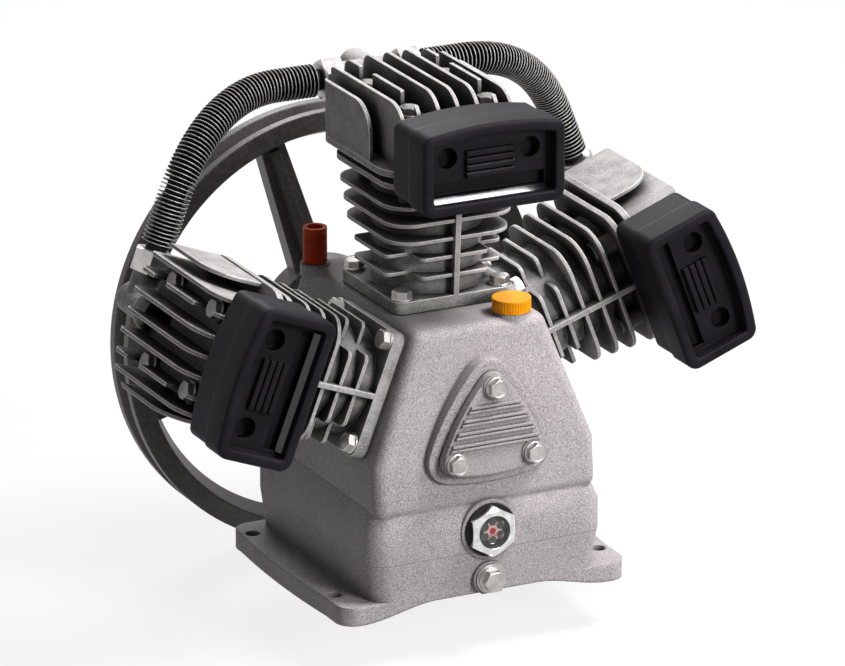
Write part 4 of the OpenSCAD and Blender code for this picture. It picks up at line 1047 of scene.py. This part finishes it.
class PUMP_OT_bolts(PumpOperator, bpy.types.Operator):
    """Stand a chamfered hexagon head on a washer over every bolt"""

    bl_idname = "pump.bolts"
    bl_label = "Bolts"

    SETS = {
        "cylinder_bolts": aim_of_bank,
        "head_bolts": aim_of_bank,
        "front_cover_bolts": lambda middle: Vector((0.0, -1.0, 0.0)),
        "rear_housing_bolts": lambda middle: Vector((0.0, 1.0, 0.0)),
    }

    def execute(self, context):
        zinc = plated("zinc", self.colours.fasteners, 0.32)
        # The head bolts take a copy of the zinc at 0.4 of its colour and with a higher roughness.
        darker_rougher = plated("dull_zinc", Vector(self.colours.fasteners) * 0.4, 0.45)
        graph = bolt_graph()
        head = bolt_head("bolt_head", **BOLT)
        for node, aim_at in self.SETS.items():
            finish = darker_rougher if node == "head_bolts" else zinc
            made = graph.run(node + "_plated", bolt_seats(node, aim_at), {"Head": head, "Material": finish})
            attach(made, "root")
            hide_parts(node)
        bpy.data.objects.remove(head)
        paint_nodes(zinc, "tube_nuts", "flywheel_washer", "flywheel_bolt", "drain_plug", "drain_washer")
        return {"FINISHED"}


class PUMP_OT_tubes(PumpOperator, bpy.types.Operator):
    """Wind rolled fins on both cooling tubes"""

    bl_idname = "pump.tubes"
    bl_label = "Cooling tubes"

    def execute(self, context):
        graph, black = finned_tube_graph(), tube_paint(self.colours)
        for bank in ("left", "right"):
            node = "cooling_tube_" + bank
            seed = line_mesh(node + "_route", tube_route(self.sizes, bank))
            made = graph.run(node + "_finned", seed, {
                "Tube Radius": self.sizes.tube_bore / 2,
                "Fin Radius": self.sizes.fin_width / 2,
                "Fin Edge": self.sizes.fin_edge,
                "Bare End": BARE_END,
                "Fins": self.sizes.fin_count,
                "Material": black,
            })
            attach(made, "root")
            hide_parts(node)
        return {"FINISHED"}


class PUMP_OT_fittings(PumpOperator, bpy.types.Operator):
    """Finish the filler cap, breather plug and sight glass"""

    bl_idname = "pump.fittings"
    bl_label = "Oil fittings"

    def execute(self, context):
        paint_nodes(moulded("cap_plastic", self.colours.cap, 0.30), "oil_filler_cap")
        paint_nodes(moulded("plug_plastic", self.colours.plug, 0.42), "breather_plug")
        paint_nodes(plated("chrome", (0.74, 0.73, 0.73), 0.10), "sight_glass_body")
        paint_nodes(moulded("seal_rubber", (0.014, 0.013, 0.013), 0.5), "sight_glass_seal", "oil_seal")
        paint_nodes(star_foil(), "sight_glass_star")
        paint_nodes(sight_glass(), "sight_glass_lens")
        return {"FINISHED"}


class PUMP_OT_inside(PumpOperator, bpy.types.Operator):
    """Finish the ground steel and the gaskets inside the pump"""

    bl_idname = "pump.inside"
    bl_label = "Inside"

    def execute(self, context):
        ground = plated("ground_steel", (0.50, 0.50, 0.50), 0.22)
        paint_nodes(ground, "front_bearing", "rear_bearing", "crankpin", "wrist_pins", "piston_rings")
        paint_nodes(ground, *each_bank("valve_plate"))
        sheet = moulded("gasket_sheet", (0.035, 0.034, 0.034), 0.7, grain=700)
        paint_nodes(sheet, "front_cover_gasket", "cylinder_gaskets", "head_gaskets")
        return {"FINISHED"}


FLOOR_DROP = 1 * MM
FLOOR_REACH = 6.0
CAMERA_PLACE = (-2.1578, -4.3505, 1.8522)
CAMERA_TURN = (70.96, 0.0, -26.36)
CAMERA_LENS = 299.4
SENSOR_WIDTH = 36.0
AIM_POINT = Vector((0.0, 0.02, 0.17))
LAMPS = {
    "key": {"place": (0.8, -2.2, 1.1), "size": 0.8, "power": 40.0},
    "top": {"place": (1.0, -0.6, 2.1), "size": 0.9, "power": 64.0},
    "fill": {"place": (-2.4, -0.6, 1.1), "size": 1.6, "power": 1.2},
    "rim": {"place": (0.5, 1.9, 1.7), "size": 1.0, "power": 26.0},
}
WORLD_LEVEL = 0.03
FLOOR_WHITE = 0.84
FLOOR_BOUNCE = (0.25, 0.25, 0.25)
FLOOR_TONES = ((0.86, 0.86, 0.86), (0.90, 0.90, 0.90))
WHITE = (1.0, 1.0, 1.0, 1.0)


def floor_white():
    """White floor that still takes a soft shadow."""
    paint = Paint("floor_white")
    grain = paint.noise(3, detail=2)
    direct = paint.seen_directly()
    tone = paint.mix(direct, FLOOR_BOUNCE, paint.mix(grain, *FLOOR_TONES))
    matt = paint.node("ShaderNodeBsdfDiffuse", None, {"Color": tone})
    glow = paint.node("ShaderNodeEmission", None, {"Color": WHITE, "Strength": 1.0})
    shares = {0: direct * FLOOR_WHITE, 1: matt.outputs[0], 2: glow.outputs[0]}
    paint.end(paint.node("ShaderNodeMixShader", None, shares))
    return paint.material


class PUMP_OT_stage(PumpOperator, bpy.types.Operator):
    """Set the floor, the white surroundings, the lamps and the camera"""

    bl_idname = "pump.stage"
    bl_label = "Stage"

    def execute(self, context):
        scene = context.scene
        scene.view_settings.view_transform = "Standard"
        self.add_floor()
        self.add_world(scene)
        for name, lamp in LAMPS.items():
            self.add_lamp(name, lamp)
        self.add_camera(scene)
        return {"FINISHED"}

    def add_floor(self):
        level = CAD_BOX[0].z - FLOOR_DROP
        corners = box_outline(-FLOOR_REACH, FLOOR_REACH, -FLOOR_REACH, FLOOR_REACH)
        mesh = bpy.data.meshes.new("floor")
        mesh.from_pydata([(x, y, level) for x, y in corners], [], [(0, 1, 2, 3)])
        mesh.materials.append(floor_white())
        floor = add_object("floor", mesh)

    def add_world(self, scene):
        world = bpy.data.worlds.new("surroundings")
        sky = Shading(world, "ShaderNodeOutputWorld")
        level = sky.seen_directly().math("MAXIMUM", WORLD_LEVEL)
        sky.end(sky.node("ShaderNodeBackground", None, {"Color": WHITE, "Strength": level}))
        scene.world = world

    def add_lamp(self, name, lamp):
        data = bpy.data.lights.new(name, "AREA")
        data.shape, data.size, data.energy = "DISK", lamp["size"], lamp["power"]
        made = add_object(name, data)
        made.location = lamp["place"]
        made.rotation_euler = (AIM_POINT - Vector(lamp["place"])).to_track_quat("-Z", "Y").to_euler()

    def add_camera(self, scene):
        data = bpy.data.cameras.new("photo_view")
        data.lens, data.sensor_width, data.sensor_fit = CAMERA_LENS, SENSOR_WIDTH, "HORIZONTAL"
        made = add_object("photo_view", data)
        made.location = CAMERA_PLACE
        made.rotation_euler = [math.radians(a) for a in CAMERA_TURN]
        scene.camera = made


STEPS = (
    PUMP_OT_stage,
    PUMP_OT_tubes,
    PUMP_OT_bolts,
    PUMP_OT_castings,
    PUMP_OT_filters,
    PUMP_OT_wheel,
    PUMP_OT_fittings,
    PUMP_OT_inside,
)


class PUMP_PT_finish(bpy.types.Panel):
    """Lists the pump's colours, sizes and steps"""

    bl_idname = "PUMP_PT_finish"
    bl_label = "Pump"
    bl_space_type = "VIEW_3D"
    bl_region_type = "UI"
    bl_category = "Pump"

    def draw(self, context):
        for group in (context.scene.pump_colours, context.scene.pump_sizes):
            box = self.layout.box()
            for key in group.__annotations__:
                box.prop(group, key)
        for step in STEPS:
            self.layout.operator(step.bl_idname)


CLASSES = (PumpColours, PumpSizes, *STEPS, PUMP_PT_finish)


def register():
    for item in CLASSES:
        bpy.utils.register_class(item)
    bpy.types.Scene.pump_colours = bpy.props.PointerProperty(type=PumpColours)
    bpy.types.Scene.pump_sizes = bpy.props.PointerProperty(type=PumpSizes)


def unregister():
    del bpy.types.Scene.pump_sizes
    del bpy.types.Scene.pump_colours
    for item in reversed(CLASSES):
        bpy.utils.unregister_class(item)


def main():
    register()
    for step in STEPS:
        group, name = step.bl_idname.split(".")
        getattr(getattr(bpy.ops, group), name)()


if __name__ == "__main__":
    main()
